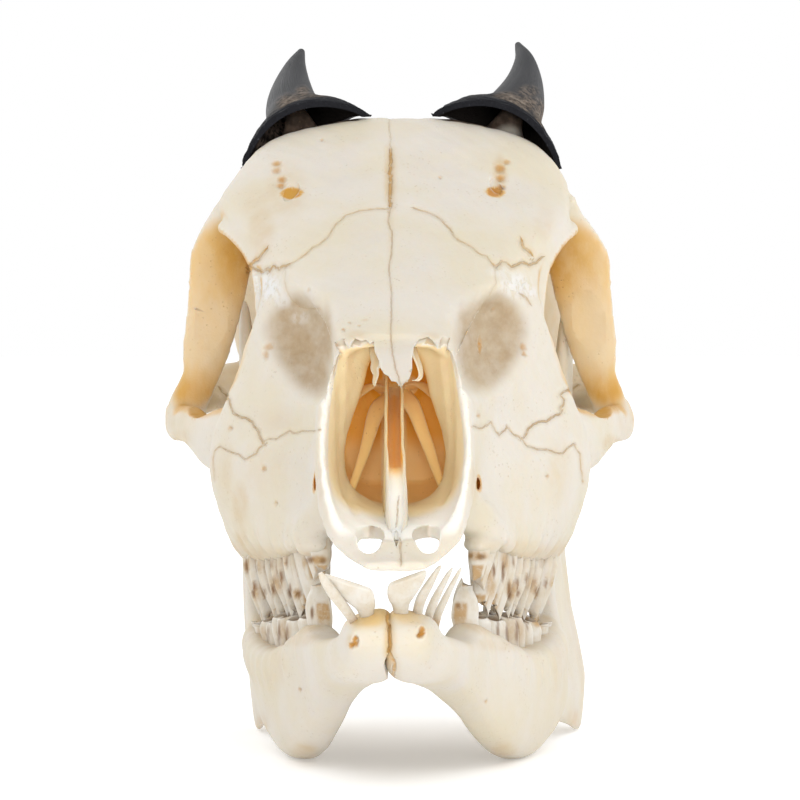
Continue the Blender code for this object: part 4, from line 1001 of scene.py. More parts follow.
JAW_KNOBS = [("condyle", (24, 126.4, 48), (4.4, 2.7, 1.9)), ("septum", (0.8, 7.5, 24.2), (1.5, 3.4, 1.7)),
             ("socket_wall", (2.6, 8.4, 23.2), (2.4, 3.6, 2.2)),
             ("socket_wall", (4.6, 10.5, 22.6), (2.2, 3.8, 2))]
JAW_VOXEL = 0.4


def jaw_place(point, side):
    """A point of the left half of the lower jaw, moved to its side and swung as the jaw rests."""
    x, y, z = point
    sway = JAW_SWAY * max(0, JAW_SWAY_HEIGHT - z) * y / JAW_LENGTH
    if side > 0:
        sway += float(fade(16, 44, y)) * (LEFT_TIP * min(14, max(0, 22 - z)) - LEFT_IN * float(fade(45, 32, z)))
    return (side * x + JAW_SHIFT + JAW_YAW * y + sway, y, z)


def jaw_half(side):
    """A slab whose foot and top follow the jaw's lower edge, tooth row, coronoid process and condyle."""
    spans = len(JAW) - 1
    knots = np.interp(np.linspace(0, spans, 9 * spans + 1), range(len(JAW)), [row[0] for row in JAW])
    rings = []
    for y, (foot_x, foot_z, top_x, top_z, half) in zip(knots, along(JAW, knots)):
        middle, rise = (foot_z + top_z) / 2, (top_z - foot_z) / 2
        dish = min(1, max(0, (y - 94) / 10))
        ring = []
        for i in range(72):
            a = math.tau * i / 72
            up = math.copysign(abs(math.sin(a)) ** 0.4, math.sin(a))
            out = math.copysign(abs(math.cos(a)) ** 0.83, math.cos(a))
            x = foot_x + (top_x - foot_x) * (up + 1) / 2 + out * half - dish * math.cos(up * math.pi / 2)
            ring.append(jaw_place((x, y, middle + up * rise), side))
        rings.append(ring)
    knobs = [ball(*knob) for knob in JAW_KNOBS]
    for knob in knobs:
        move_points(knob, [jaw_place(point, side) for point in points_of(knob)])
    jaw = grown_together("jaw_half", [loft("jaw_slab", rings), *knobs], JAW_VOXEL, 3)
    move_points(jaw, softened(jaw, 0.5 * fade(26, 16, points_of(jaw)[:, 1]), 70))  # the chin is rounded all over
    return jaw


CRACK = [(6, 0.2), (12, 0.4), (16.2, 0.52), (17.6, 0.7), (18.4, 0.66), (19.4, 0.1), (19.9, 0), (22.2, 0.12),
    (23.9, -0.14), (26.1, -0.27), (40, -0.3)]
CRACK_HALF = 0.07


def chin_face(side):
    """A block with a slightly wavy face, which trims one half of the jaw along the middle of the chin."""
    rings = []
    for z in np.linspace(4, 38, 40):
        near = CRACK_HALF - side * along(CRACK, z)[0, 0]
        corners = ((near, -6), (near, 34), (near - 12, 34), (near - 12, -6))
        rings.append([jaw_place((x, y, z), side) for x, y in corners])
    return loft("chin_face", rings)


jaws = {side: cut(jaw_half(side), [chin_face(side)], "jaw_half") for side in (1, -1)}
for side, jaw in jaws.items():
    print("jaw half", side, len(jaw.data.vertices), "vertices")

# %% [markdown]
# ## Cheek teeth
#
# Browsing animals have cheek teeth with crescent ridges of enamel: seen from below, each molar has two lobes, sharp
# ribs on the cheek side and dark pits between the crescents. A crown is made as rings that rise from the root to the
# worn edge, and then as smaller and smaller rings that dip into the chewing surface. Each tooth leans inwards to its
# tip, and the next one stands a little behind and further out, so the row looks like a fan of blades from the front.

# %% Places and sizes of the cheek teeth
# Rows of (distance back, half width of the row or height)
UPPER_CHEEK_LINE = [(40, 13), (50, 15.4), (57, 17.4), (65, 19.4), (72, 21), (80, 23.2), (89, 24.2)]
UPPER_GUM = [(40, 33.2), (50, 31), (57, 29.5), (65, 28.7), (75, 28.2), (89, 28.2)]
UPPER_TIP = [(40, 28), (44, 26), (50, 22.4), (60, 22.4), (70, 21.5), (80, 20), (89, 19.8)]
LOWER_GUM = [(40, 21.6), (50, 19.3), (60, 17), (70, 16.3), (80, 17), (90, 19.2)]
# Rows of (name, front, back, width)
UPPER_TEETH = [("premolar_2", 40.4, 45.8, 4.2), ("premolar_3", 46.2, 52.2, 5.4),
    ("premolar_4", 52.6, 58.4, 6.6), ("molar_1", 58.8, 67.2, 7.6), ("molar_2", 67.6, 76.8, 8.4),
    ("molar_3", 77.2, 86.6, 8.2)]
LOWER_TEETH = [("premolar_2", 41, 45.8, 3.4), ("premolar_3", 46.2, 52.2, 3.6), ("premolar_4", 52.6, 59.6, 4.2),
    ("molar_1", 60, 68.6, 4.8), ("molar_2", 69, 78.4, 5), ("molar_3", 78.8, 89.4, 5)]
# Outlines in shares of half the length (front to back) and half the width (tongue to cheek)
MOLAR_OUTLINE = [(-1, 0.1), (-1, 0.55), (-0.95, 1), (-0.82, 0.62), (-0.64, 0.6), (-0.5, 0.88), (-0.36, 0.58),
    (-0.2, 0.46), (-0.08, 1.06), (0.06, 0.62), (0.22, 0.44), (0.42, 0.66), (0.54, 0.82), (0.72, 0.44),
    (0.9, 0.86), (1, 0.4), (1, 0.1), (0.94, -0.45), (0.78, -0.84), (0.5, -1), (0.22, -0.86), (0.04, -0.5),
    (-0.06, -0.5), (-0.22, -0.86), (-0.5, -1), (-0.78, -0.86), (-0.94, -0.5)]
PREMOLAR_OUTLINE = [(-1, 0), (-0.98, 0.5), (-0.88, 0.86), (-0.66, 0.56), (-0.4, 0.74), (-0.12, 1.04),
    (0.1, 0.8), (0.4, 0.72), (0.7, 0.74), (0.92, 0.82), (1, 0.4), (1, -0.1), (0.9, -0.56), (0.6, -0.86),
    (0.2, -1), (-0.3, -0.95), (-0.7, -0.76), (-0.94, -0.4)]
LOWER_INSET = 1.4  # the lower row closes this far inside the upper one
BITE_SLOPE = 0.5  # the chewing surfaces fall away towards the cheek
BITE_GAP = 0.5
UPPER_LEAN, LOWER_LEAN = 0.26, -0.16  # how far a crown leans to the tongue's side, per millimetre towards its tip
SHORT_TOOTH, SHORTER_BY = "upper_right_premolar_2", 1.5  # worn down more than its neighbours
PEG_RISE, PEG_TAPER = 0.9, 0.6  # the first lower tooth stands a little higher and is pointed like a peg
UPPER_TAPER, LOWER_TAPER = 0.19, 0.14
NECK = 0.8  # how far from the gum the crown begins to widen
CROWN_SHARES = (*np.linspace(0.07, 0.91, 13), 0.97, 1)  # rings from the neck to the cutting edge
BITE_SHARES = (0.93, 0.82, 0.68, 0.52, 0.36, 0.2, 0.06)  # rings from the cutting edge into the chewing surface
BITE_DARKNESS = (0.1, 0.45, 0.8, 1, 1, 1, 1)  # how dark each of those rings is
print(len(UPPER_TEETH) + len(LOWER_TEETH), "cheek teeth on each side")

# %% [markdown]
# ## Old stains and painted shade on the teeth
#
# Two kinds of brown show on the crowns: a soft crust of tartar, and narrow dark slits between the ribs and between
# two teeth, which are partly stain and partly painted shade. Both are listed as oval spots where the picture shows
# them, and stored on the crowns like the bone's.

# %% Spots of tartar and dark slits
# Where brown shows on the crowns in the picture: (x, y, half width, half height, strength)
TARTAR = [(318, 560, 12, 6, 1), (477, 556, 14, 6, 1), (325, 611, 4, 7, 0.7), (462, 607, 7, 6, 0.75),
    (246, 566, 3, 8, 0.9), (259, 566, 3, 8, 0.9), (256, 592, 5, 10, 0.7), (277, 584, 8, 13, 0.7),
    (297, 594, 6, 6, 1), (491, 585, 6, 15, 0.7), (505, 562, 6, 12, 0.8), (512, 590, 7, 12, 0.8),
    (533, 584, 7, 12, 0.7), (556, 584, 7, 8, 1), (285, 560, 4, 7, 0.7), (304, 562, 3, 8, 0.7),
    (284, 632, 9, 14, 0.6), (262, 634, 6, 10, 0.5), (515, 630, 15, 18, 0.5), (538, 622, 7, 7, 1)]
# dark slits between the ribs and between two teeth: partly brown stain, partly painted shade
SLITS_OF_STAIN_AND_SHADE = [(310, 560, 5, 4, 0.8), (323, 561, 4, 4, 0.7), (481, 557, 6, 3.5, 0.8), (471, 556, 3, 3, 0.6),
    (494, 571, 1.8, 8.1, 1), (273, 588, 1.9, 12.2, 1), (281, 577, 1.8, 12.2, 1), (290, 592, 1.9, 10.8, 1),
    (298, 594, 4, 4, 1), (254, 589, 1.8, 12.2, 1), (264, 594, 1.8, 10.8, 0.9), (247, 567, 1.8, 9.5, 0.9),
    (259, 566, 1.6, 8.1, 0.8), (270, 564, 1.6, 9.5, 0.8), (287, 561, 1.8, 8.1, 0.8), (503, 572, 1.9, 13.5, 1),
    (509, 591, 2.1, 12.2, 1), (518, 588, 1.9, 12.2, 1), (514, 562, 1.6, 8.1, 0.8), (527, 578, 1.8, 13.5, 0.9),
    (536, 590, 1.9, 10.8, 1), (546, 580, 1.8, 12.2, 0.9), (543, 562, 1.6, 8.1, 0.7), (312, 613, 2.2, 8.1, 1),
    (279, 634, 1.8, 14.9, 0.9), (287, 636, 1.8, 13.5, 0.8), (268, 634, 1.6, 12.2, 0.7),
    (498, 630, 1.8, 16.2, 0.8), (507, 634, 1.8, 16.2, 0.9), (517, 632, 1.9, 16.2, 0.9),
    (527, 624, 1.6, 13.5, 0.7), (458, 606, 3, 4, 0.7)]
print(len(TARTAR), "spots of tartar and", len(SLITS_OF_STAIN_AND_SHADE), "dark slits")

# %% [markdown]
# ## One crown
#
# A crown is made standing straight, from shares of its length and width. The small function "place" then leans it,
# turns it along the row and puts it over its gum. The lower crowns are the upper ones turned over, and they move
# with the jaw, so that they stay in it.

# %% One crown
def chewing_relief(u, v, is_molar):
    """How far the chewing surface dips below its cutting edge, from 0 to about 1.6 millimetres."""
    if is_molar:
        pits = sum(math.exp(-(((u - c) / 0.24) ** 2 + ((v - 0.08) / 0.3) ** 2)) for c in (-0.5, 0.5))
        valley = math.exp(-((u / 0.09) ** 2)) * 0.5
        return 1.3 * pits + valley + 0.35
    return 1.1 * math.exp(-((u / 0.5) ** 2 + ((v + 0.05) / 0.42) ** 2)) + 0.2


def crown(name, front, back, width, is_upper, side):
    is_molar = "premolar" not in name
    middle = (front + back) / 2
    edge = along(UPPER_CHEEK_LINE, middle)[0, 0] - (0 if is_upper else LOWER_INSET)
    turn = (along(UPPER_CHEEK_LINE, back)[0, 0] - along(UPPER_CHEEK_LINE, front)[0, 0]) / (back - front)
    gum = along(UPPER_GUM if is_upper else LOWER_GUM, middle)[0, 0]
    tip = along(UPPER_TIP, middle)[0, 0] - (0 if is_upper else BITE_GAP)
    tip += SHORTER_BY if name == SHORT_TOOTH else 0
    is_small = "premolar_2" in name
    is_peg = is_small and not is_upper
    tip += PEG_RISE if is_peg else 0
    away = 1 if is_upper else -1
    half_length, half_width = (back - front) / 2, width / 2
    centre = edge - half_width
    outline = smooth_loop(MOLAR_OUTLINE if is_molar else PREMOLAR_OUTLINE, 3 if is_molar else 4)
    if not is_upper:
        outline = outline * (1, -1)
    pointed = PEG_TAPER if is_peg else UPPER_TAPER if is_upper else LOWER_TAPER
    # rows of (height, size) for the root, and then of (None, share of the crown's height)
    steps = [(gum + away * up, size) for up, size in ((4.2, 0.55), (2.4, 0.72), (0.6, 0.9), (-NECK, 0.95))]
    steps += [(None, share) for share in CROWN_SHARES]
    rings = []

    def place(u, v, z):
        y = middle + u * half_length
        lean = (UPPER_LEAN if is_upper else LOWER_LEAN) * max(0, -away * (z - gum))
        lean *= min(1, max(0, 0.45 + 0.55 * v))
        return (centre + v * half_width + turn * (y - middle) - lean, y, z)

    def edge_height(u, v):
        cusp = abs(math.cos(math.pi * u)) if is_molar else abs(math.sin(math.pi * u / 2))
        cusp *= 1.9 if is_upper else 0.9
        dip = cusp * fade(-0.4, 0.8, v if is_upper else -v) + 0.25 * cusp
        return tip + BITE_SLOPE * -v * half_width + away * float(dip)

    for z, share in steps:
        ring = []
        for u, v in outline:
            if z is None:
                top = edge_height(u, v)
                low = gum - away * NECK
                height = low + (top - low) * share
                size = 0.95 + 0.05 * math.sin(share * math.pi * 0.8) - pointed * share**2
            else:
                height, size = z, share
            ring.append(place(u * size, v * size, height))
        rings.append(ring)
    for inner in BITE_SHARES:
        ring = []
        for u, v in outline:
            u, v = u * (0.97 - pointed) * inner, v * (0.97 - pointed) * inner
            depth = chewing_relief(u, v if is_upper else -v, is_molar)
            depth *= float(fade(0.98, 0.62, inner) * 0.8 + 0.2) * (0.1 if is_small else 1)
            ring.append(place(u, v, edge_height(u, v) + away * depth))
        rings.append(ring)
    if is_upper:
        rings = [[(side * x, y, z) for x, y, z in ring] for ring in rings]
    else:
        rings = [[jaw_place(point, side) for point in ring] for ring in rings]
    made = loft(name, rings)
    heights = points_of(made)[:, 2]
    within = np.repeat([0] * len(steps) + list(BITE_DARKNESS), len(outline))
    us = np.abs(np.tile(outline[:, 0], len(rings)))
    vs = np.tile(outline[:, 1], len(rings)) * (1 if is_upper else -1)
    # partly painted shade: brown laid where a crown faces its neighbour and between its ribs
    gap = fade(0.9, 0.98, us) * fade(0.74, 0.58, vs)  # where the crown faces its neighbour
    valley = fade(0.82, 0.66, vs) * fade(0.2, 0.4, vs) * fade(0.95, 0.88, us)  # between the ribs
    from_gum = away * (gum - heights)
    neck = fade(0.9, 0.2, np.abs(from_gum - 0.1)) * 0.45
    neck = np.maximum(neck, np.maximum(gap, 0.8 * valley) * fade(0.0, 0.5, np.sin(heights * 1.3 + front) + 0.35))
    spots = seen_at(points_of(made))
    neck = np.maximum(neck, blot(spots, TARTAR))
    paint(made, "pit", np.maximum(within * (0.3 if is_small else 0.85), blot(spots, SLITS_OF_STAIN_AND_SHADE)))
    paint(made, "neck", np.clip(neck, 0, 1) * (1 - within))
    return made


# %% [markdown]
# ## Four rows of cheek teeth
#
# The same function makes all the crowns: an upper and a lower row on each side of the skull.

# %% Make the cheek teeth
teeth = {}
for word, side in (("left", 1), ("right", -1)):
    for rows, row_word in ((UPPER_TEETH, "upper"), (LOWER_TEETH, "lower")):
        for tooth_name, *size in rows:
            name = f"{row_word}_{word}_{tooth_name}"
            teeth[name] = crown(name, *size, row_word == "upper", side)
print(len(teeth), "cheek teeth")

# %% [markdown]
# ## Front teeth
#
# The lower front teeth are pegs that widen into thin, tilted blades. The first pair is broad like a spade; the outer
# ones are slender and curl outwards. Two are lost on the skull's right side, so only six are left.

# %% Front teeth
FRONT_TEETH = {  # rows of (x, distance back, height, half width, half thickness, tilt) from root to tip
    "incisor_1_right": [(-4.4, 12, 20.5, 0.85, 0.8, 0), (-4.3, 8, 23.2, 0.95, 0.85, 0),
        (-4.6, 5.6, 25.2, 1.15, 0.9, -5), (-5.3, 4.3, 26.3, 2.1, 0.85, -12), (-6.2, 3.3, 27.6, 3, 0.7, -16),
        (-6.8, 2.7, 28.8, 3.4, 0.4, -17), (-6.9, 2.6, 29.3, 3.1, 0.12, -18)],
    "incisor_2_right": [(-5.1, 12.5, 20.6, 0.56, 0.6, 0), (-5.8, 8, 23, 0.62, 0.6, 10),
        (-7.2, 4.6, 25.4, 0.7, 0.55, 22), (-8.8, 2.6, 27.6, 0.72, 0.5, 28), (-10, 1.6, 29.5, 0.56, 0.4, 30),
        (-10.5, 1.3, 30.4, 0.3, 0.25, 30)],
    "incisor_1_left": [(0.25, 12, 20.8, 0.75, 0.8, 0), (0.2, 8, 23.6, 0.88, 0.85, 0),
        (0.1, 5.4, 25.9, 1.15, 0.9, 5), (0.3, 4.2, 27, 1.8, 0.85, 12), (0.7, 3.2, 28.3, 2.5, 0.65, 18),
        (0.95, 2.7, 29.4, 2.7, 0.4, 19), (1, 2.6, 29.9, 2.4, 0.12, 20)],
    "incisor_2_left": [(2, 13, 21, 0.6, 0.7, 0), (2.25, 9.4, 24, 0.66, 0.7, 0),
        (2.65, 6.8, 26.2, 0.8, 0.75, 15), (3.5, 5.2, 28.2, 1.15, 0.7, 30), (4.6, 4.2, 30.2, 1.0, 0.45, 38),
        (5, 3.8, 31, 0.5, 0.2, 40)],
    "incisor_3_left": [(3.5, 15, 21.4, 0.55, 0.6, 0), (3.9, 11.2, 24.3, 0.6, 0.6, 0),
        (4.8, 8.8, 26.8, 0.74, 0.6, 20), (5.9, 7.6, 29, 0.8, 0.5, 34), (6.5, 6.9, 30.2, 0.62, 0.35, 38),
        (6.8, 6.7, 30.7, 0.22, 0.12, 38)],
    "canine_left": [(4.5, 17, 21.2, 0.55, 0.6, 0), (5, 13.4, 24, 0.6, 0.6, 0), (6, 11.2, 26.4, 0.66, 0.55, 20),
        (7.2, 9.8, 28.9, 0.66, 0.5, 34), (7.8, 9.2, 30.1, 0.5, 0.3, 38), (8, 9, 30.6, 0.2, 0.12, 38)],
}


def front_tooth(name, rows):
    rings = []
    for x, y, z, half_width, half_thickness, tilt in smooth_path(rows, 9 * len(rows)):
        across = Vector((math.cos(math.radians(tilt)), 0, math.sin(math.radians(tilt))))
        rings.append(oval((x, y, z), across * half_width, Vector((0, 0.93, 0.36)) * half_thickness, 32))
    return loft(name, rings)


for name, rows in FRONT_TEETH.items():
    teeth[name] = front_tooth(name, rows)
    heights = points_of(teeth[name])[:, 2]
    paint(teeth[name], "neck", 0.8 * fade(24.6, 23, heights))
    paint(teeth[name], "pit", np.zeros(len(heights)))
print(len(FRONT_TEETH), "front teeth")

# %% [markdown]
# ## Horn sheaths
#
# A horn sheath is a hollow cone of keratin over a bone core. On a dry skull it comes loose and lifts off, so a dark
# gap opens under its flared rim. The cone is one closed skin: it starts inside, runs out over the thick lip and then
# along the outside to the tip. Only the part that would dip into the forehead is cut away afterwards.

# %% Horn sheaths
SHEATH_WALL = 1.0
SHEATH_RINGS, INSIDE_RINGS, SHEATH_SIDES = 120, 92, 96
# Dried skin on the collar, as it shows in the picture
SCURF = [(290, 103, 15, 10, 1), (303, 92, 9, 7, 0.8), (316, 97, 12, 5, 0.5), (520, 104, 26, 10, 1),
         (506, 97, 14, 6, 0.8), (541, 116, 9, 18, 1), (528, 92, 14, 8, 0.5)]
SKIN_INSIDE = [(277, 127, 17, 15, 1), (262, 146, 8, 10, 0.7), (507, 134, 14, 9, 1)]


def horn_sheath(name, horn):
    path = smooth_path(horn, SHEATH_RINGS)
    tilt = math.copysign(HORN_RIM_TILT, horn[0][0])
    inside, outside = [], []
    turns = np.arange(SHEATH_SIDES) / SHEATH_SIDES
    for i, (x, y, z, width, height) in enumerate(path):
        across, up = horn_axes(path, i, tilt)
        rugged = 0.012 * np.sin(turns * math.tau * 9 + i * 0.5) + 0.01 * np.sin(turns * math.tau * 23 + i * 1.1)
        ribs = 0.004 * np.sin(turns * math.tau * 15) * float(fade(118, 60, i))
        rugged = 1 + rugged * float(fade(34, 4, i)) + ribs
        lens = 0.75 * float(fade(30, 0, i))  # the rim runs out to a point at both ends
        sines = [math.sin(a) for a in turns * math.tau]
        shape = [(math.cos(a), math.copysign(abs(s) ** (1 + lens), s)) for a, s in zip(turns * math.tau, sines)]
        outside.append([Vector((x, y, z)) + (across * u * width + up * v * height) * scale
                        for (u, v), scale in zip(shape, rugged)])
        if i < INSIDE_RINGS:
            inner_width, inner_height = max(0.3, width - SHEATH_WALL), max(0.3, height - SHEATH_WALL)
            inside.append([Vector((x, y, z)) + across * u * inner_width + up * v * inner_height
                           for u, v in shape])
    made = loft(name, inside[::-1] + outside)
    paint(made, "turn", np.tile(np.abs(turns * 2 - 1), len(inside) + len(outside)))
    runs = np.concatenate([np.arange(len(inside))[::-1], np.arange(len(outside))]) / len(path)
    is_inner = np.repeat([1.0] * len(inside) + [0.0] * len(outside), SHEATH_SIDES)
    runs_all = np.repeat(runs, SHEATH_SIDES)
    spots = seen_at(points_of(made))
    paint(made, "run", runs_all)
    paint(made, "rim", fade(0.46, 0.2, runs_all))
    paint(made, "inner", is_inner * fade(0.005, 0.03, runs_all))
    brim = np.maximum(fade(0.17, 0.13, runs_all) * (1 - is_inner), is_inner * fade(0.03, 0.005, runs_all))
    paint(made, "brim", brim)
    front = normals_of(made)[:, 1] < 0.1
    behind = 0.5 * fade(0.4, 0.2, runs_all) * fade(0.1, 0.6, np.sin(np.tile(turns, len(runs)) * 19))
    paint(made, "scurf", (1 - is_inner) * (1 - brim) * np.where(front, blot(spots, SCURF), behind))
    paint(made, "skin", is_inner * (1 - brim) * blot(spots, SKIN_INSIDE))
    return made


sheaths = {"horn_sheath_left": horn_sheath("horn_sheath_left", HORN_LEFT),
           "horn_sheath_right": horn_sheath("horn_sheath_right", HORN_RIGHT)}


def swollen(bone, by):
    """A copy of the bone that stands out all round, to keep what lies on it clear."""
    copy = put_up("swollen_bone", bone.data.copy())
    copy.modifiers.new("thin out", "DECIMATE").ratio = 0.1
    swell = copy.modifiers.new("swell", "DISPLACE")
    swell.strength = by * MM
    swell.mid_level = 0
    rebuild_in_cells(copy, 0.6)
    return baked(copy, "swollen_bone")


clearing = swollen(bone, 0.4)
for name, sheath in sheaths.items():
    sheaths[name] = cut(sheath, [clearing], name, used_up=False)
bpy.data.objects.remove(clearing)
print("horn sheaths made")

# %% [markdown]
# ## Where each colour lies
#
# Bone isn't one colour. It is grey-brown and rough in the hollows before the eyes, chalky where the surface has
# weathered, and stained where grease has come out. Inside the eye sockets and the nose it is painted warm and waxy:
# painted glow for light through the thin bone, and painted shade deep inside. Where each of these lies is worked out
# here and stored on the mesh as named values, one number for each point. The bone's material reads them, and adds
# the fine grain.

# %% How far each point is from a seam
def surface_of(obj):
    """Points, normals, which points are seen and where they show in the picture."""
    points = points_of(obj)
    return points, normals_of(obj), seen_share(obj, 0.7), seen_at(points)


def paint_seams(obj, seams, pits, seen):
    """Stores how far each point lies from the nearest seam, and which side of it, in half widths of that seam."""
    points, normals = points_of(obj), normals_of(obj)
    spots = seen_at(points)
    near_seam, side_of, ink = np.full(len(points), 9.0), np.full(len(points), 9.0), np.zeros(len(points))

    def draw(places, path, reach, half, strength, allowed):
        away, side = to_path(places, path, reach)
        away, side = away / half, side / half
        nearer = (away < near_seam) & allowed
        near_seam[nearer], side_of[nearer], ink[nearer] = away[nearer], side[nearer], strength

    for (half, strength), path in seams.values():
        draw(spots, path, 14, half, strength, seen > 0.4)
    for (flat, half, strength, where), path in HIDDEN_SEAMS.values():
        draw(points[:, flat], path, 3, half, strength, where(points, normals) & (seen < 0.6))
    paint(obj, "seam_near", np.minimum(near_seam, 9))
    paint(obj, "seam_side", np.clip(side_of, -9, 9))
    paint(obj, "seam_ink", ink)
    marks = np.zeros(len(points))
    for *spot, deep in pits:
        edges = (1.3, 0.8) if deep > 0.7 else (1.8, 0.4)  # a real hole has a sharper edge than a dent
        marks = np.maximum(marks, seen * min(1, deep * 1.7) * fade(*edges, from_spot(spots, *spot)))
    paint(obj, "pit", marks)


# %% [markdown]
# ## Seams on the hidden sides
#
# The picture shows only the front. Behind it a duiker's skull has more seams: across the top behind the horns, round
# the plate at the back, along the side of the braincase, across the cheek arch and down the palate. Each path is
# drawn flat, from above, from the side, from behind or from below.

# %% Paths of the hidden seams
TOP, SIDE, BACK, UNDER = [0, 1], [1, 2], [0, 2], [0, 1]
HIDDEN_SEAMS = {  # (the two axes of the view, half width in millimetres, strength, which points count), path
    "behind_the_horns": ((TOP, 0.16, 0.7, lambda p, n: (n[:, 2] > 0.1) & (p[:, 1] > 118) & (p[:, 2] > 70)),
                         mirrored([(-24, 126), (-20, 129), (-15, 128.4), (-11, 131), (-6, 131.6), (0, 134)])),
    "middle_of_the_top": ((TOP, 0.14, 0.6, lambda p, n: (n[:, 2] > 0.1) & (p[:, 1] > 112) & (p[:, 2] > 78)),
                          [(-0.3, 112), (0.2, 118), (-0.3, 124), (0.2, 129), (0, 134)]),
    "plate_at_the_back": ((BACK, 0.16, 0.7, lambda p, n: (n[:, 1] > 0.2) & (p[:, 1] > 138)),
                          mirrored([(-20, 58), (-16, 64), (-13, 67), (-8, 68), (-4, 70.5), (0, 71)])),
    "palate_middle": ((UNDER, 0.14, 0.6, lambda p, n: (n[:, 2] < -0.3) & (p[:, 2] < 40)),
                      [(-0.5, 14), (0.2, 30), (-0.2, 46), (0.2, 62), (0, 88)]),
    "palate_across": ((UNDER, 0.15, 0.6, lambda p, n: (n[:, 2] < -0.3) & (p[:, 2] < 40)),
                      mirrored([(-12, 66), (-8, 62), (-4, 60.5), (0, 62)])),
}
FLANK_SEAMS = {  # the same on both sides: half width, strength, which points count, path
    "temple": (0.16, 0.7, lambda p: p[:, 1] > 108,
               [(110, 58), (114, 63), (118, 68), (122, 70.5), (127, 71.5), (132, 69.5), (136, 67), (139, 62),
                (140, 56)]),
    "wing": (0.15, 0.6, lambda p: p[:, 1] > 108, [(118, 68), (119, 74), (121.5, 79), (123, 84)]),
    "arch": (0.16, 0.7, lambda p: (np.abs(p[:, 0]) > 29) & (p[:, 2] < 54),
             [(108, 51.5), (111, 49), (115, 48), (118.5, 46.5), (121, 45)]),
    "muzzle": (0.15, 0.55, lambda p: p[:, 1] < 48,
               [(17, 36), (19, 40), (20.5, 43), (25, 48), (31, 53), (37, 57.5)]),
    "cheek": (0.16, 0.65, lambda p: p[:, 2] < 60,
              [(58, 47), (62, 44.5), (66, 43.5), (70, 40.5), (75, 40), (80, 38), (85, 36.5)]),
}
for word, sign in (("left", 1), ("right", -1)):
    for name, (half, strength, where, path) in FLANK_SEAMS.items():
        def counts(p, n, sign=sign, where=where):
            return (n[:, 0] * sign > 0.25) & (p[:, 0] * sign > 9) & where(p)

        HIDDEN_SEAMS[f"{name}_{word}"] = ((SIDE, half, strength, counts), path)
print(len(FACE_SEAMS), "seams on the face and", len(HIDDEN_SEAMS), "on the hidden sides")

# %% [markdown]
# ## Stains that the picture shows
#
# Each list holds soft oval spots in the picture. The brown of the gland hollows, the chalky weathered patches, the
# tan of old grease and the pinkish grey of the brow overlap, as they do on the bone.

# %% Lists of the cranium's stains
GLAND_STAINS = [(300, 318, 30, 26, 0.75), (303, 348, 26, 34, 1.0), (320, 372, 12, 26, 0.9),
    (282, 330, 22, 22, 0.5), (326, 340, 9, 40, 0.85), (488, 322, 30, 26, 0.7), (486, 350, 26, 32, 0.75),
    (468, 360, 10, 28, 0.8), (464, 330, 10, 30, 0.7), (510, 330, 16, 20, 0.4)]
CHALK_PATCHES = [(268, 287, 17, 17, 1.0), (262, 275, 14, 8, 0.8), (516, 285, 20, 16, 0.8),
    (530, 292, 10, 8, 0.7), (500, 272, 18, 6, 0.4), (282, 300, 12, 10, 0.5), (300, 318, 12, 8, 0.3)]
TAN_STAINS = [(285, 190, 26, 34, 0.35), (262, 228, 16, 34, 0.4), (258, 205, 20, 24, 0.25),
    (500, 174, 9, 20, 0.7), (277, 166, 6, 6, 0.7), (545, 222, 14, 22, 0.3), (390, 178, 7, 34, 0.5),
    (391, 220, 5, 50, 0.22), (265, 470, 40, 30, 0.14), (240, 505, 10, 30, 0.4), (241, 540, 8, 22, 0.35),
    (181, 438, 12, 12, 0.45), (611, 443, 12, 10, 0.5), (176, 418, 14, 16, 0.22), (627, 420, 12, 20, 0.25),
    (226, 470, 10, 40, 0.25), (560, 470, 14, 40, 0.2), (283, 420, 26, 20, 0.2), (356, 335, 16, 6, 0.4),
    (430, 337, 12, 6, 0.35), (343, 347, 8, 10, 0.3), (320, 480, 6, 30, 0.3), (474, 482, 5, 26, 0.35),
    (300, 556, 40, 10, 0.35), (512, 548, 40, 10, 0.3)]
LILAC_PATCHES = [(370, 236, 26, 22, 0.55), (340, 165, 44, 34, 0.5), (440, 160, 50, 32, 0.5),
    (420, 260, 24, 34, 0.35), (350, 275, 30, 26, 0.35), (260, 420, 40, 20, 0.3), (300, 460, 40, 20, 0.3),
    (500, 405, 34, 20, 0.35), (455, 196, 24, 20, 0.4), (520, 200, 24, 24, 0.35), (410, 140, 60, 18, 0.4)]
print(len(GLAND_STAINS) + len(CHALK_PATCHES) + len(TAN_STAINS) + len(LILAC_PATCHES), "stains on the cranium")

# %% [markdown]
# ## Painting the cranium
#
# Where no list helps, the shape itself says what colour belongs there. A point faces into an eye socket if its normal
# looks towards the socket's middle, and lines the nose if it looks inwards there. The colours there are painted light
# and shade: thin bone deep in the nose lets light through, so two values are kept for it, one for the painted light
# on the pale walls and the lip, and one for the painted glow and shade of the amber depth.

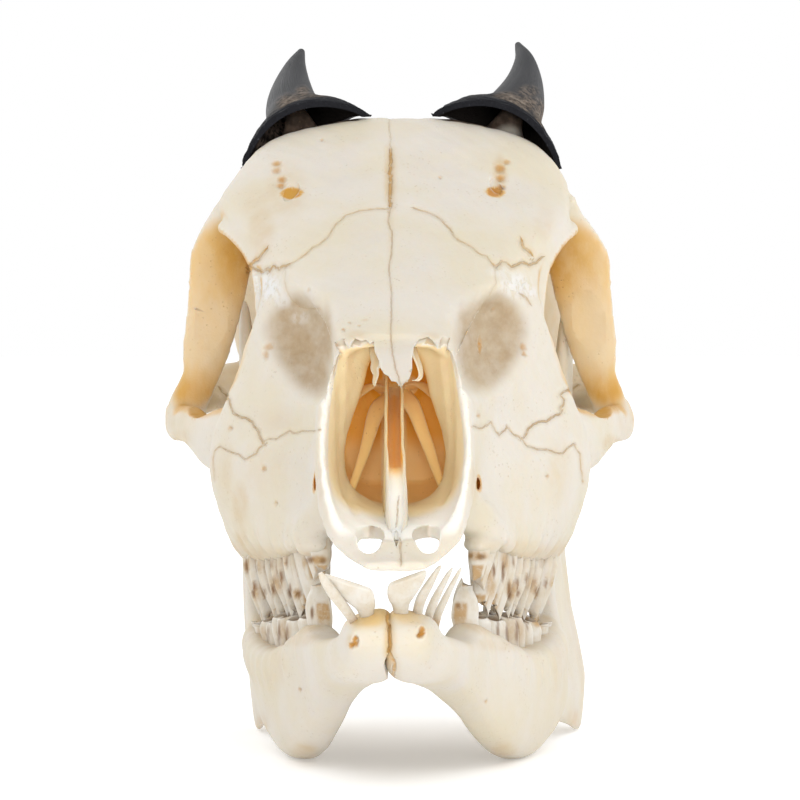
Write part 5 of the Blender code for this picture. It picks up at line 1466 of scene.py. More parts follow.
# %% Colours of the eye sockets
def socket_glow_and_shade(points, normals):
    """How much painted glow (warm) and painted shade (deep) lie in and behind the eye sockets, from 0 to 1."""
    x, y, z = points.T
    warm, deep = np.zeros(len(points)), np.zeros(len(points))
    for side in (1, -1):
        offset = (points - np.array(ORBIT_CENTRE) * (side, 1, 1)) / ORBIT_RADII
        away = np.linalg.norm(offset, axis=1)
        facing = -(normals * offset).sum(1)
        # painted light and shade: warm stands for light through the thin walls, deep for shade at roof and floor
        socket = fade(1.34, 1.18, away) * fade(0.0, 0.35, facing - 0.35 * fade(54, 51, z) * fade(107, 103, y))
        warm = np.maximum(warm, socket * (0.72 + 0.28 * np.maximum(fade(60, 72, z), fade(58, 52, z))))
        roof, floor = fade(63, 74, z) * fade(34, 22, np.abs(x)), 0.8 * fade(58, 52, z)
        deep = np.maximum(deep, socket * np.maximum(roof, floor))
        # the hollow behind the bar, between the braincase and the arch, is painted warm for the shade in it
        temple = fade(108, 113, y) * fade(138, 126, y) * fade(18, 22, side * x)
        temple = temple * fade(82, 74, z) * fade(44, 50, z)
        warm = np.maximum(warm, 0.55 * temple)
    return warm, deep


# %% [markdown]
# ## The lining of the nose
#
# The nose is lined with thin bone. Its side walls, back wall, floor and roof are found one by one, each by where it
# lies and which way it faces, and the lip stays pale because the lining starts a little inside its outer edge. The
# warm lining, the amber depth and the paler walls and lip are painted glow, shade and light, for light that comes
# through the thin bone and the shade deep inside.

# %% Colours in the nose
def shrunk(spots, share):
    """Places in the picture, moved away from the middle of the nose: an outline round it counts as smaller."""
    return (spots - (395, 450)) / (share, 1 - (1 - share) * 0.55) + (395, 450)


def nose_colours(points, normals, seen, spots):
    """The warm lining, the painted light on the walls and lip, and the painted glow and shade, from 0 to 1."""
    x, y, z = points.T
    middle = x - NOSE_MIDDLE
    inward = -np.sign(middle) * normals[:, 0]
    slope = along(NASAL_SLOPE, y)[:, 0] - NASAL_CURVE * x * x
    in_nose = (np.abs(middle) < 10.2) & (y < 62) & (y > 3) & (z > 33.5) & (z < np.minimum(64, slope - 1.3))
    side_walls = fade(0.25, 0.75, inward)
    back_wall = fade(0.2, 0.6, -normals[:, 1]) * (y > 44) * (np.abs(middle) < 8.2)
    nose_floor = fade(0.5, 0.9, normals[:, 2]) * (z < 41) * (y > 14)
    nose_roof = fade(0.2, 0.6, -normals[:, 2]) * (y > 38) * (z > 50)
    lining = in_nose * np.maximum.reduce([side_walls, back_wall, nose_floor, nose_roof])
    lining *= np.maximum(1 - seen, inside_share(spots, NOSE_LIP, 3))
    trough_middle, trough_half, lips = along(TROUGH, y)[:, :3].T
    in_trough = in_nose & (y > 8) & (np.abs(x - trough_middle) < trough_half - 0.32) & (z < lips - 0.4)
    plates = in_nose & (np.abs(x - trough_middle) < trough_half + 0.4) & (y > 8)
    inside_lip = np.maximum(fade(36, 44, y), 1 - seen * (1 - inside_share(shrunk(spots, 0.87), NOSE_LIP, 4)))
    lining = np.where(plates, 0.3 + 0.3 * fade(28, 50, y), lining * inside_lip * (0.42 + 0.58 * fade(18, 46, y)))
    # painted glow and shade: amber deep in the nose and in the trough of the split plate
    depth = lining * fade(44, 52, y) * np.where(plates, 0.5, 1)
    nose_glow_and_shade = np.maximum(depth * (0.35 + 0.65 * fade(43, 49, z)), in_trough * fade(25, 34, y) * 0.9)
    in_strut = np.zeros(len(points))
    for rows in STRUTS:
        in_strut = np.maximum(in_strut, fade(1.7, 1.2, to_path(points, [row[:3] for row in rows], 3)[0]))
    nose_glow_and_shade = nose_glow_and_shade * (1 - in_strut) + 0.3 * in_strut * in_nose
    # painted light: the thin walls and inward lip are made paler, as if lit through, most of all deep inside
    turned_in = np.maximum(fade(0.1, 0.7, inward), fade(0.35, 0.85, normals[:, 2]) * fade(5, 9, y))
    lip = seen * inside_share(spots, NOSE_LIP, 5) * fade(36, 30, y) * (z > 28)
    lip = lip * turned_in * fade(-1.5, -3, z - slope)
    wall = in_nose * np.minimum(1, lining * 3) * fade(2, 12, y)
    nose_painted_light = np.clip(np.maximum(0.45 * np.maximum(lip, 0.9 * wall), wall * fade(9, 34, y)), 0, 1)
    flake = in_nose & (z > slope - 7) & (y > 33) & (y < 43) & (np.abs(x) < 5)
    warm = np.maximum.reduce([lining, in_trough * fade(22, 29, y), flake * 0.7])
    return warm, nose_painted_light, nose_glow_and_shade


# %% [markdown]
# ## All the cranium's values
#
# Now each named value is worked out and stored. Rust rings the holes for the nerves, painted shade darkens the bone
# under the horn sheaths, mottled with dry tissue, and tan lies along the gums and in the grooves.

# %% Paint the cranium
def paint_cranium(obj):
    points, normals, seen, spots = surface_of(obj)
    x, y, z = points.T
    warm, deep = socket_glow_and_shade(points, normals)
    nose_warm, nose_painted_light, nose_glow_and_shade = nose_colours(points, normals, seen, spots)
    warm = np.maximum(warm, nose_warm)
    paint(obj, "nose_painted_light", nose_painted_light)
    paint(obj, "nose_glow_and_shade", nose_glow_and_shade)
    for name, centre, radii, turn in HOLES:
        if name.endswith("foramen"):
            away = np.sqrt((((points - np.array(centre)) / (np.array(radii) + 0.25)) ** 2).sum(1))
            rust = fade(1.2, 0.95, away)
            warm, deep = np.maximum(warm, rust), np.maximum(deep, rust)
    deep = np.clip(deep, 0, 1)
    paint(obj, "warm", warm)
    paint(obj, "deep", deep)
    gland = blot(spots, GLAND_STAINS)
    for outline in GLAND_HOLLOWS.values():
        gland = np.maximum(gland, 0.85 * inside_share(spots, outline, 9))
    paint(obj, "gland", seen * gland)
    # painted shade: the bone under the horn sheaths is darkened, less where a pale patch shows
    under_horn = np.zeros(len(points))
    for horn in (HORN_LEFT, HORN_RIGHT):
        from_rim = np.linalg.norm(points - horn[1][:3], axis=1)
        under_horn = np.maximum(under_horn, fade(10, 8.5, from_rim) * (y > 112.5))
    under_horn = np.maximum(under_horn, (z > 97.5) & (y > 116))
    paint(obj, "shade_under_horn", under_horn * (1 - 0.7 * blot(spots, [(508, 134, 15, 10, 1)])))
    paint(obj, "chalk", seen * blot(spots, CHALK_PATCHES))
    tan = seen * blot(spots, TAN_STAINS)
    clouds = np.sin(x * 0.21 + 1 + np.sin(z * 0.11)) * np.sin(y * 0.13 + z * 0.05)
    tan = np.maximum(tan, (1 - seen) * 0.14 * fade(-0.6, 0.8, clouds))
    for path in NOSE_GROOVES:
        tan = np.maximum(tan, 0.3 * seen * fade(5, 0.5, to_path(spots, path, 10)[0]))
    for side in (1, -1):
        row = [(side * (x0 + 0.6), y0, 29.4) for y0, x0 in UPPER_ROW]
        tan = np.maximum(tan, 0.42 * fade(2.6, 0.4, to_path(points, row, 5)[0]))
    paint(obj, "tan", tan)
    paint(obj, "lilac", seen * blot(spots, LILAC_PATCHES))
    paint(obj, "hollow", hollowness(obj))
    paint_seams(obj, FACE_SEAMS, FACE_PITS, seen)


paint_cranium(bone)
print("painted", len(bone.data.attributes), "kinds of values on the cranium")

# %% [markdown]
# ## The jaw's stains, pits and sockets
#
# The chin is yellow with old grease round its crack, and each half has a hole where a nerve came out. The jaw is
# carved as the cranium was, thinned out, and then given the same named values, so that one bone material serves all.

# %% Work out where the jaw's colours lie
JAW_PITS = [(355.5, 641.5, 2.6, 5.4, 1.0), (351, 646, 2, 3, 0.8), (422, 632, 2.6, 5, 1.0),
    (419, 636, 2, 2.6, 0.8), (438, 607, 2, 2.4, 0.5), (300, 690, 1.6, 1.6, 0.4), (486, 702, 1.4, 1.4, 0.3)]
JAW_STAINS = [(368, 614, 30, 12, 1.0), (390, 606, 14, 10, 0.95), (404, 612, 14, 10, 0.55),
    (390, 645, 6, 40, 0.5), (352, 642, 8, 8, 0.5), (422, 632, 8, 8, 0.5), (305, 752, 16, 12, 0.45),
    (503, 752, 16, 12, 0.4), (262, 727, 8, 16, 0.4), (574, 722, 8, 16, 0.4), (300, 640, 40, 8, 0.3),
    (500, 645, 40, 8, 0.3), (275, 668, 12, 30, 0.2), (560, 668, 10, 40, 0.2), (462, 607, 8, 8, 0.9)]
CHIN_YELLOW = [(366, 617, 30, 14, 1), (390, 609, 18, 13, 1), (408, 617, 22, 10, 0.7), (388, 640, 5, 34, 0.6)]
JAW_TRIANGLES = 90000
JAW_SEAMS = {
    "chin_crack": ((2.2, 1.0), [(386.5, 604), (387, 612), (388, 622), (390, 635), (389, 652), (392, 658),
        (394.5, 663.5), (393, 682)]),
}


def paint_jaw(obj, side):
    points, _, seen, spots = surface_of(obj)
    x, y, z = points.T
    stains = seen * blot(spots, JAW_STAINS)
    gum = [jaw_place((np.interp(y0, [40, 60, 89], [12, 16.4, 21.5]), y0, along(LOWER_GUM, y0)[0, 0]), side)
           for y0 in np.linspace(40, 90, 12)]
    stains = np.maximum(stains, 0.55 * fade(3.4, 0.4, to_path(points, gum, 5)[0]))
    clouds = fade(-0.8, 0.9, np.sin(y * 0.21 + np.sin(z * 0.13) * 2))
    stains = np.maximum(stains, 0.16 * fade(100, 118, y) * clouds)
    paint(obj, "tan", stains)
    paint(obj, "hollow", hollowness(obj))
    for name in ("deep", "gland", "chalk", "nose_glow_and_shade", "shade_under_horn", "nose_painted_light"):
        paint(obj, name, np.zeros(len(points)))
    paint(obj, "warm", seen * blot(spots, CHIN_YELLOW))
    paint(obj, "lilac", 0.3 * fade(0.1, 0.8, np.sin(x * 0.3 + 2) * np.cos(z * 0.25)))
    paint_seams(obj, JAW_SEAMS, JAW_PITS, seen)


def carve_jaw(obj, side):
    """Presses in the pits and lets the tooth sockets swell."""
    points, normals, seen, spots = surface_of(obj)
    x, y, z = points.T
    lift = np.zeros(len(points))
    for *spot, deep in JAW_PITS:
        lift -= seen * 0.9 * deep * fade(1.5, 0.2, from_spot(spots, *spot))
    for y0 in (43, 49, 56, 62, 67, 72, 77, 82, 87):
        x0 = np.interp(y0, [40, 60, 89], [12, 16.4, 21.5])
        bulge = jaw_place((x0 + 2, y0, along(LOWER_GUM, y0)[0, 0] - 3.2), side)
        lift += 0.5 * near(points, bulge, (4, 2.2, 4.5))
    lift += 0.15 * np.sin(x * 0.5 + 0.7) * np.sin(y * 0.27) * np.cos(z * 0.33)
    lift *= fade(0.3, 2.5, z)
    moved = points + normals * lift[:, None]
    moved[:, 2] = np.maximum(moved[:, 2], 0.03)
    return moved


for side in (1, -1):
    move_points(jaws[side], carve_jaw(jaws[side], side))
    jaws[side] = thinned(jaws[side], JAW_TRIANGLES)
    paint_jaw(jaws[side], side)
    print("jaw half", side, len(jaws[side].data.polygons), "faces")

# %% [markdown]
# ## Shader sums that read like sums
#
# A material is a chart of nodes, and a chart with fifty nodes is hard to read. Here each output of a node is wrapped
# in a small class, so that adding two of them in Python makes the Math node that adds them.

# %% Wires
class Wire:
    """One output of a node. Sums with other wires or plain numbers make Math nodes."""

    def __init__(self, sheet, socket):
        self.sheet, self.socket = sheet, socket

    def math(self, operation, *others, clamp=False):
        return self.sheet.node("ShaderNodeMath", {"operation": operation, "use_clamp": clamp}, self, *others)

    def __add__(self, other):
        return self.math("ADD", other)

    def __radd__(self, other):
        return self.sheet.node("ShaderNodeMath", {"operation": "ADD"}, other, self)

    def __sub__(self, other):
        return self.math("SUBTRACT", other)

    def __rsub__(self, other):
        return self.sheet.node("ShaderNodeMath", {"operation": "SUBTRACT"}, other, self)

    def __mul__(self, other):
        return self.math("MULTIPLY", other)

    def __rmul__(self, other):
        return self.sheet.node("ShaderNodeMath", {"operation": "MULTIPLY"}, other, self)

    def __truediv__(self, other):
        return self.math("DIVIDE", other)

    def __pow__(self, other):
        return self.math("POWER", other)

    def __abs__(self):
        return self.math("ABSOLUTE")

    def clamped(self):
        return self.math("ADD", 0, clamp=True)


# %% [markdown]
# ## Sheets to draw on
#
# The Sheet is the material that is drawn on. Its one method "node" makes any node, from its kind, its settings and
# the values or wires for its sockets. The other methods are short words for what bone, enamel and horn need again
# and again: clouds, cells, soft steps, a tone laid over the colour so far, and relief.

# %% Sheets
class Sheet:
    """A material to draw on, with its Principled shader at hand."""

    def __init__(self, name):
        self.material = bpy.data.materials.new(name)
        self.material.use_nodes = True
        self.tree = self.material.node_tree
        self.shader = self.tree.nodes["Principled BSDF"]
        self.place = self.node("ShaderNodeTexCoord", {}, output="Object")
        self.colour = (1, 1, 1)  # the colour so far

    def node(self, kind, settings, *inputs, output=0, **named):
        """Makes a node: its kind, its settings, then values or wires for its sockets, in order or by name."""
        made = self.tree.nodes.new(kind)
        for name, value in settings.items():
            setattr(made, name, value)
        enabled = [socket for socket in made.inputs if socket.enabled]
        by_name = {socket.name.replace(" ", "_"): socket for socket in reversed(enabled)}
        pairs = list(zip(enabled, inputs)) + [(by_name[name], value) for name, value in named.items()]
        for socket, value in pairs:
            self.feed(socket, value)
        outputs = [socket for socket in made.outputs if socket.enabled]
        return Wire(self, made.outputs[output] if isinstance(output, str) else outputs[output])

    def feed(self, socket, value):
        if isinstance(value, Wire):
            self.tree.links.new(value.socket, socket)
        elif isinstance(value, tuple) and len(value) == 3 and socket.type == "RGBA":
            socket.default_value = (*value, 1)
        else:
            socket.default_value = value

    def stored(self, name):
        """A value that was painted on the points of the mesh."""
        settings = {"attribute_type": "GEOMETRY", "attribute_name": name}
        return self.node("ShaderNodeAttribute", settings, output="Fac")

    def stretched(self, sizes):
        """The place on the object, counted in cells of these sizes in millimetres."""
        return self.node("ShaderNodeVectorMath", {"operation": "MULTIPLY"}, self.place,
                         tuple(1 / (size * MM) for size in sizes))

    def noise(self, size, detail=3, roughness=0.5, warp=0.0):
        """Cloudy noise from 0 to 1, with blobs of about this size in millimetres."""
        sizes = size if isinstance(size, tuple) else (size, size, size)
        return self.node("ShaderNodeTexNoise", {}, Vector=self.stretched(sizes), Scale=1, Detail=detail,
                         Roughness=roughness, Distortion=warp, output="Fac")

    def cells(self, size, feature="F1"):
        """Distance to the nearest of many scattered points, in cells of this size in millimetres."""
        sizes = size if isinstance(size, tuple) else (size, size, size)
        return self.node("ShaderNodeTexVoronoi", {"feature": feature}, Vector=self.stretched(sizes), Scale=1,
                         output="Distance")

    def ramp(self, value, low, high):
        """0 at low, 1 at high and smooth between them. Low may be the larger one."""
        flip = low > high
        if flip:
            low, high = high, low
        step = self.node("ShaderNodeMapRange", {"interpolation_type": "SMOOTHSTEP"}, Value=value, From_Min=low,
                         From_Max=high, output="Result")
        return 1 - step if flip else step

    def mix(self, share, first, second, blend="MIX"):
        """A colour between the first (share 0) and the second (share 1)."""
        return self.node("ShaderNodeMix", {"data_type": "RGBA", "blend_type": blend, "clamp_factor": True},
                         share, first, second, output=0)

    def lay(self, share, tone):
        """Lays a tone over the colour so far, as strongly as the share says."""
        self.colour = self.mix(share, self.colour, tone)

    def bump(self, height, millimetres, strength=1.0):
        """Turns a height from 0 to 1 into a normal, for a relief this deep in millimetres."""
        return self.node("ShaderNodeBump", {}, Strength=strength, Distance=millimetres * MM, Height=height,
                         output="Normal")

    def finish(self, **sockets):
        for name, value in sockets.items():
            self.feed(self.shader.inputs[name.replace("_", " ")], value)
        return self.material


# %% [markdown]
# ## Old bone
#
# Clean old bone is ivory, not white: creamy on the cheeks, a little pink and grey over the brow. The material starts
# with three such tones in soft clouds, lays the stored stains over them, and then draws the seams, whose stored
# distance gives a line much finer than the mesh. Tiny pores and a fine grain along the head go into the bump. Some
# stored tones are painted light and shade: glow and amber in the eye sockets and the nose, dark shade under the horn
# sheaths, and dirt and shade in the hollows. The thin walls of the nose get paler tones and a faint Emission, a
# painted glow for the daylight that comes through them.

# %% The finish of the bones
IVORY, CREAM, LILAC = (0.61, 0.565, 0.495), (0.60, 0.54, 0.42), (0.57, 0.525, 0.485)
# mostly painted glow and painted shade in eye sockets and nose; also the chin's grease and the nerve holes
HONEY, AMBER, RUST = (0.64, 0.45, 0.20), (0.50, 0.255, 0.025), (0.40, 0.13, 0.012)
GLAND_BROWN, GLAND_GREY, CHALK = (0.33, 0.225, 0.115), (0.38, 0.275, 0.16), (0.68, 0.67, 0.65)
# painted light: the lip and the thin walls of the nose are made paler where they lie in shade
PAINTED_LIGHT_LIP, PAINTED_LIGHT_WALL = (0.84, 0.81, 0.735), (0.87, 0.75, 0.50)
STAIN, CRACK_BROWN = (0.50, 0.34, 0.15), (0.42, 0.26, 0.11)
# the brown of the hollows is dirt and painted shade together: it darkens every concave place
SPECKLE, DIRT_AND_SHADE_BROWN, WORN_EDGE = (0.54, 0.44, 0.30), (0.40, 0.26, 0.12), (0.70, 0.66, 0.59)
SLOT_AMBER, PIT_BROWN, PORE_BROWN = (0.46, 0.22, 0.03), (0.46, 0.23, 0.05), (0.36, 0.23, 0.10)
# painted glow and shade: tan and amber deep in the nose, for light through thin bone and shade
DEEP_TAN, DEEP_AMBER = (0.88, 0.59, 0.23), (0.86, 0.44, 0.045)  # in the depth of the nose
# painted shade on the bone under the horn sheaths, mottled with the brown of dry tissue
PAINTED_HORN_SHADE, DRY_TISSUE = (0.06, 0.04, 0.028), (0.16, 0.11, 0.08)  # under the horn sheaths
# painted glow: a faint Emission on the thin walls of the nose stands in for light through them
PAINTED_GLOW_STRENGTH = 0.07  # how strongly the thin walls of the nose shine with the light that comes through them


def bone_look(name):
    sheet = Sheet(name)
    clouds, blotches, fine = sheet.noise(13, 4), sheet.noise(4.5, 4, 0.6), sheet.noise(0.9, 4, 0.6)
    sheet.colour = sheet.mix(sheet.ramp(clouds, 0.35, 0.68), IVORY, CREAM)
    sheet.lay(sheet.stored("lilac") * sheet.ramp(blotches, 0.3, 0.7), LILAC)
    sheet.lay(sheet.ramp(fine, 0.55, 0.8) * 0.14, SPECKLE)

    stain = sheet.stored("tan") * (0.45 + sheet.ramp(blotches, 0.35, 0.65) * 0.55)
    sheet.lay(stain, STAIN)

    gland = sheet.stored("gland")
    mottle = sheet.noise((2.4, 10, 2.4), 4, 0.55)
    gland_share = (gland * (0.86 + sheet.ramp(mottle, 0.32, 0.62) * 0.22)).clamped()
    gland_tone = sheet.mix(sheet.ramp(sheet.noise((1.6, 8, 1.6), 4, 0.6), 0.35, 0.65), GLAND_BROWN, GLAND_GREY)
    sheet.lay(gland_share * 0.95, gland_tone)

    chalk = sheet.stored("chalk") * sheet.ramp(sheet.noise(1.6, 5, 0.7), 0.4, 0.55)
    sheet.lay(chalk, CHALK)

    warm, deep = sheet.stored("warm"), sheet.stored("deep")
    fibres = sheet.noise((3.5, 3.5, 9), 4, 0.6)
    sheet.lay(warm * (0.72 + sheet.ramp(fibres, 0.3, 0.7) * 0.28), HONEY)
    sheet.lay((deep * (0.7 + sheet.ramp(fibres, 0.35, 0.65) * 0.35)).clamped(), AMBER)
    sheet.lay(sheet.ramp(deep, 0.82, 1.0) * sheet.ramp(blotches, 0.3, 0.6) * 0.6, RUST)

    nose_glow_and_shade, nose_painted_light = sheet.stored("nose_glow_and_shade"), sheet.stored("nose_painted_light")
    # painted light: the lip and then the thin walls of the nose are made paler, as if lit
    sheet.lay(sheet.ramp(nose_painted_light, 0, 0.45), PAINTED_LIGHT_LIP)
    sheet.lay(sheet.ramp(nose_painted_light, 0.45, 1.0), PAINTED_LIGHT_WALL)
    # painted glow and shade: tan and then amber deep in the nose
    sheet.lay(sheet.ramp(nose_glow_and_shade, 0, 0.35), DEEP_TAN)
    sheet.lay(sheet.ramp(nose_glow_and_shade, 0.35, 0.95), DEEP_AMBER)
    # painted shade under the horn sheaths, mottled with dry tissue
    shade_and_tissue = sheet.mix(sheet.ramp(mottle, 0.4, 0.65), PAINTED_HORN_SHADE, DRY_TISSUE)
    sheet.lay(sheet.stored("shade_under_horn"), shade_and_tissue)

    # dirt and painted shade darken the hollows; edges turn paler where worn
    hollow = sheet.stored("hollow")
    sheet.lay(sheet.ramp(hollow, 0.25, 1.0) * 0.45, DIRT_AND_SHADE_BROWN)
    sheet.lay(sheet.ramp(hollow, -0.15, -0.8) * 0.35, WORN_EDGE)

    wander = (sheet.noise(1.3, 2) - 0.5) * 2.6
    line = sheet.ramp(abs(sheet.stored("seam_side") + wander), 1.15, 0.25)
    line = line * sheet.ramp(sheet.stored("seam_near"), 3.6, 2.2) * sheet.stored("seam_ink") * 0.85
    broken = line * (0.45 + sheet.ramp(sheet.noise(1.7, 2), 0.38, 0.55) * 0.55)
    slot = sheet.ramp(sheet.stored("seam_ink"), 0.85, 0.98)
    sheet.lay(broken, sheet.mix(slot, CRACK_BROWN, SLOT_AMBER))
    halo = sheet.ramp(sheet.stored("seam_near"), 4.5, 0.5) * sheet.stored("seam_ink") * 0.28
    sheet.lay(halo, STAIN)
    pit = sheet.stored("pit")
    sheet.lay(pit, PIT_BROWN)

    pores = sheet.ramp(sheet.cells(0.75), 0.22, 0.1) * sheet.ramp(sheet.noise(6, 2), 0.46, 0.66)
    sheet.lay(pores * 0.3, PORE_BROWN)
    grain = sheet.noise((0.35, 2.2, 0.35), 3, 0.6)
    height = fine * 0.3 + grain * 0.16 - pores * 0.4 - line * 1.3 - pit * 0.8 + mottle * gland * 0.3 + chalk * 0.5
    roughness = 0.5 + fine * 0.2 + gland * 0.12 + chalk * 0.2 - warm * 0.1
    # painted glow: the pale walls of the nose give off a faint Emission of their own colour
    painted_glow_colour = sheet.mix(sheet.ramp(nose_painted_light, 0.5, 1.0), (0, 0, 0), sheet.colour)
    return sheet.finish(Base_Color=sheet.colour, Roughness=roughness, Normal=sheet.bump(height, 0.16),
                        Emission_Color=painted_glow_colour, Emission_Strength=PAINTED_GLOW_STRENGTH,
                        Subsurface_Weight=0.22, Subsurface_Radius=(1.0, 0.55, 0.28), Subsurface_Scale=0.0022,
                        Specular_IOR_Level=0.32)


bone_finish = bone_look("cranium_bone")
jaw_finish = bone_look("jaw_bone")
print("bone finishes made")

# %% [markdown]
# ## Enamel
#
# Enamel is harder and glossier than bone, a cooler cream, with fine lines from the gum to the tip. Brown tartar
# clings round the necks of the teeth, and darker brown fills the slits and the pits of the chewing surface. Where
# crowns face each other and between their ribs that brown is partly painted shade.

# %% The finish of the teeth
ENAMEL, WARM_ENAMEL, STREAK = (0.60, 0.565, 0.50), (0.55, 0.49, 0.39), (0.50, 0.40, 0.26)
TARTAR_BROWN, SPECK_BROWN, PIT_DARK = (0.38, 0.21, 0.05), (0.38, 0.2, 0.07), (0.16, 0.07, 0.014)


def tooth_look(name):
    sheet = Sheet(name)
    clouds, streaks = sheet.noise(2.4, 4, 0.6), sheet.noise((0.45, 0.45, 5), 3, 0.6)
    sheet.colour = sheet.mix(sheet.ramp(clouds, 0.35, 0.7), ENAMEL, WARM_ENAMEL)
    sheet.lay(sheet.ramp(streaks, 0.5, 0.8) * 0.3, STREAK)
    neck, pit = sheet.stored("neck"), sheet.stored("pit")
    tartar = (neck * (0.5 + sheet.ramp(sheet.noise(0.9, 5, 0.65), 0.3, 0.56) * 0.5)).clamped()
    sheet.lay(tartar * 0.8, TARTAR_BROWN)
    speck = sheet.ramp(sheet.noise(0.42, 3, 0.6), 0.6, 0.72) * sheet.ramp(clouds, 0.4, 0.6)
    sheet.lay(speck * 0.3, SPECK_BROWN)
    sheet.lay(pit * 0.92, PIT_DARK)
    height = streaks * 0.5 + tartar * 0.8 - pit * 0.4
    roughness = 0.26 + tartar * 0.4 + clouds * 0.1
    return sheet.finish(Base_Color=sheet.colour, Roughness=roughness, Normal=sheet.bump(height, 0.12),
                        Subsurface_Weight=0.2, Subsurface_Radius=(1.0, 0.7, 0.45), Subsurface_Scale=0.0015,
                        Specular_IOR_Level=0.45)


tooth_finish = tooth_look("enamel")

# %% [markdown]
# ## Horn
#
# A horn sheath is keratin, like a nail: near black with a bluish sheen and fine fibres that run from the rim to the
# tip. Near the rim it is rough, scaly and brown where the skin dried on it. Inside, it is dull and dark.

# %% The finish of the horns
HORN_BLACK, HORN_FIBRE, HORN_SHEEN = (0.007, 0.0075, 0.0095), (0.023, 0.024, 0.029), (0.045, 0.046, 0.052)
RIM_BROWN, DRY_SKIN, PALE_SKIN = (0.11, 0.095, 0.08), (0.24, 0.185, 0.14), (0.36, 0.31, 0.26)
# the pale flecks on the black brim are painted glints
BRIM_BLACK, GLINT_FLECK, INSIDE_DARK, INSIDE_SKIN = ((0.012, 0.0125, 0.016), (0.20, 0.21, 0.23), (0.014, 0.011, 0.009),
                                               (0.30, 0.22, 0.17))


def horn_look(name):
    sheet = Sheet(name)
    rim, inner, run = sheet.stored("rim"), sheet.stored("inner"), sheet.stored("run")
    turn = sheet.stored("turn")
    lanes = sheet.node("ShaderNodeCombineXYZ", {}, turn * 52, run * 5, rim * 2)
    fibres = sheet.node("ShaderNodeTexNoise", {}, Vector=lanes, Scale=1, Detail=4, Roughness=0.65, output="Fac")
    lanes_fine = sheet.node("ShaderNodeCombineXYZ", {}, turn * 150, run * 9, 0.0)
    fine = sheet.node("ShaderNodeTexNoise", {}, Vector=lanes_fine, Scale=1, Detail=3, Roughness=0.6, output="Fac")
    patches = sheet.noise(2.2, 5, 0.65, 0.4)
    scaly = sheet.noise(0.8, 5, 0.7)
    sheet.colour = sheet.mix(sheet.ramp(fibres, 0.35, 0.7), HORN_BLACK, HORN_FIBRE)
    sheet.lay(sheet.ramp(fine, 0.52, 0.8) * 0.4, HORN_SHEEN)
    brim, scurf = sheet.stored("brim"), sheet.stored("scurf")
    sheet.lay(rim * sheet.ramp(patches, 0.4, 0.62) * 0.5, RIM_BROWN)
    dry = scurf * sheet.ramp(scaly, 0.36, 0.6)
    sheet.lay(dry * 0.85, DRY_SKIN)
    sheet.lay(dry * sheet.ramp(patches, 0.5, 0.66) * 0.6, PALE_SKIN)
    sheet.lay(brim, BRIM_BLACK)
    # painted highlight: pale flecks on the brim and rim stand in for glints
    glint_flecks = sheet.ramp(sheet.noise(0.5, 4, 0.7), 0.62, 0.72)
    sheet.lay((brim + rim * 0.5).clamped() * glint_flecks * 0.5, GLINT_FLECK)
    sheet.lay(inner, INSIDE_DARK)
    skin = sheet.stored("skin") * sheet.ramp(scaly, 0.4, 0.58)
    sheet.lay(skin * 0.8, INSIDE_SKIN)
    height = fibres * 0.45 + fine * 0.3 + rim * scaly * 1.5 + scurf * scaly * 2.2 + brim * patches * 1.6
    roughness = 0.42 + fibres * 0.16 + rim * 0.18 + scurf * 0.2 + inner * 0.3 - brim * 0.08
    return sheet.finish(Base_Color=sheet.colour, Roughness=roughness, Normal=sheet.bump(height, 0.3),
                        Specular_IOR_Level=0.12)


horn_finish = horn_look("keratin")


def table_look(name):
    sheet = Sheet(name)
    tone = sheet.mix(sheet.noise(400, 2), (0.93, 0.93, 0.93), (0.95, 0.95, 0.95))
    return sheet.finish(Base_Color=tone, Roughness=0.9, Specular_IOR_Level=0.1, Emission_Color=(1, 1, 1),
                        Emission_Strength=0.2)


floor_finish = table_look("white_table")
print("enamel, horn and table finishes made")

# %% [markdown]
# ## Putting the pieces in their places
#
# Every visible piece stands for a solid of the imported model, and that solid is hidden. The skull has no joints, so
# all of them ride on the one body, "root". Bone is shaded smooth; teeth and horns keep an edge where two faces meet
# sharply.

# %% Place the pieces
SHARP_FROM = 50  # degrees between two faces
skull = bpy.data.collections.new("red_duiker_skull")
bpy.context.scene.collection.children.link(skull)


def show(piece, name, stands_for, material, crisp=None):
    """Names a piece, gives it its finish and hides the plain solid that it stands for."""
    for home in list(piece.users_collection):
        home.objects.unlink(piece)
    skull.objects.link(piece)
    piece.name = name
    piece.data.name = name
    piece.data.materials.clear()
    piece.data.materials.append(material)
    piece.data.shade_smooth()
    if crisp:
        piece.data.set_sharp_from_angle(angle=math.radians(crisp))
    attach(piece, "root")
    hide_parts(stands_for)


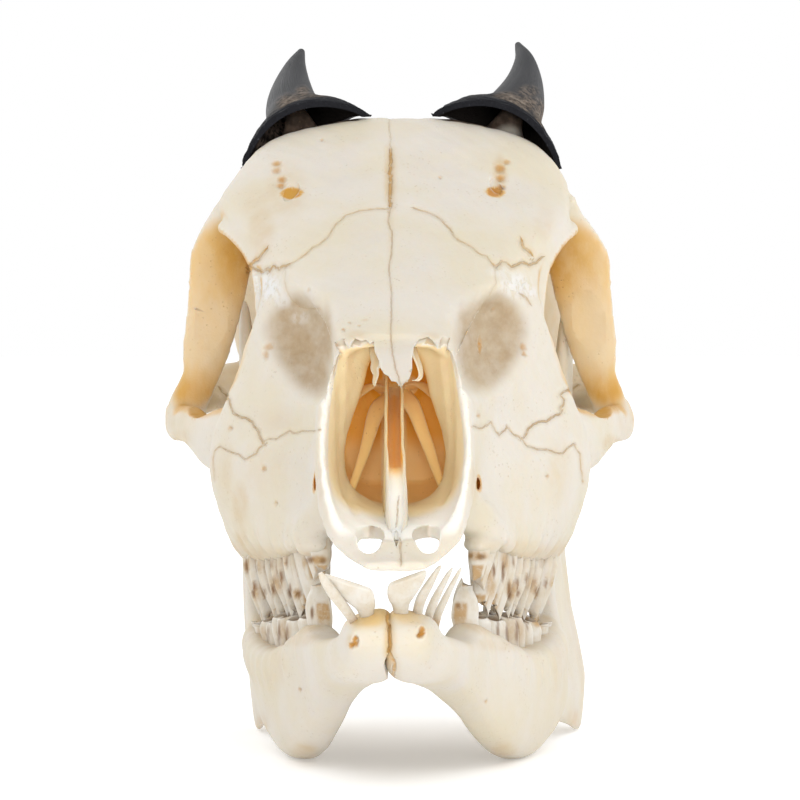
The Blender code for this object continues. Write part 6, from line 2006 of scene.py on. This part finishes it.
show(bone, "cranium_bone", "cranium", bone_finish)
for side, word in ((1, "left"), (-1, "right")):
    show(jaws[side], f"jaw_{word}", f"mandible_{word}", jaw_finish)
for name, tooth in teeth.items():
    show(tooth, f"tooth_{name}", name, tooth_finish, crisp=SHARP_FROM)
for name, sheath in sheaths.items():
    show(sheath, f"{name}_keratin", name, horn_finish, crisp=SHARP_FROM)
for leftover in list(workshop.objects):
    bpy.data.objects.remove(leftover)
bpy.data.collections.remove(workshop)

# %% [markdown]
# ## Light and floor
#
# The picture is a museum record: a white table and broad, soft light from all sides. An even white world does most
# of it. A soft lamp in front reaches into the nose and the eye sockets, a large one high on the right adds the faint
# shadow on the left of the jaw, and two behind brighten the outer edges of the bone. The table glows a little, so
# that it meets the white world unseen.

# %% Light and floor
world = bpy.data.worlds.new("soft_room")
bpy.context.scene.world = world
world.use_nodes = True
world.node_tree.nodes["Background"].inputs["Color"].default_value = (1, 1, 1, 1)
world.node_tree.nodes["Background"].inputs["Strength"].default_value = 1.0
bpy.context.scene.view_settings.view_transform = "Standard"

for name, size, energy, place in (("front_lamp", 0.5, 9.0, (0.08, -1.3, 0.1)),
                                  ("right_lamp", 0.9, 2.4, (0.75, -0.95, 1.0)),
                                  ("back_lamp_left", 0.9, 3.5, (-0.7, 1.1, 0.6)),
                                  ("back_lamp_right", 0.9, 2.5, (0.9, 1.0, 0.5))):
    lamp = bpy.data.objects.new(name, bpy.data.lights.new(name, "AREA"))
    bpy.context.scene.collection.objects.link(lamp)
    lamp.data.size = size
    lamp.data.energy = energy
    lamp.location = place
    lamp.rotation_euler = (Vector((0, 0, 0.05)) - lamp.location).to_track_quat("-Z", "Y").to_euler()

bm = bmesh.new()
bmesh.ops.create_grid(bm, x_segments=1, y_segments=1, size=6)
floor_mesh = bpy.data.meshes.new("floor")
bm.to_mesh(floor_mesh)
bm.free()
floor = bpy.data.objects.new("floor", floor_mesh)
bpy.context.scene.collection.objects.link(floor)
floor.data.materials.append(floor_finish)
print("stage set")
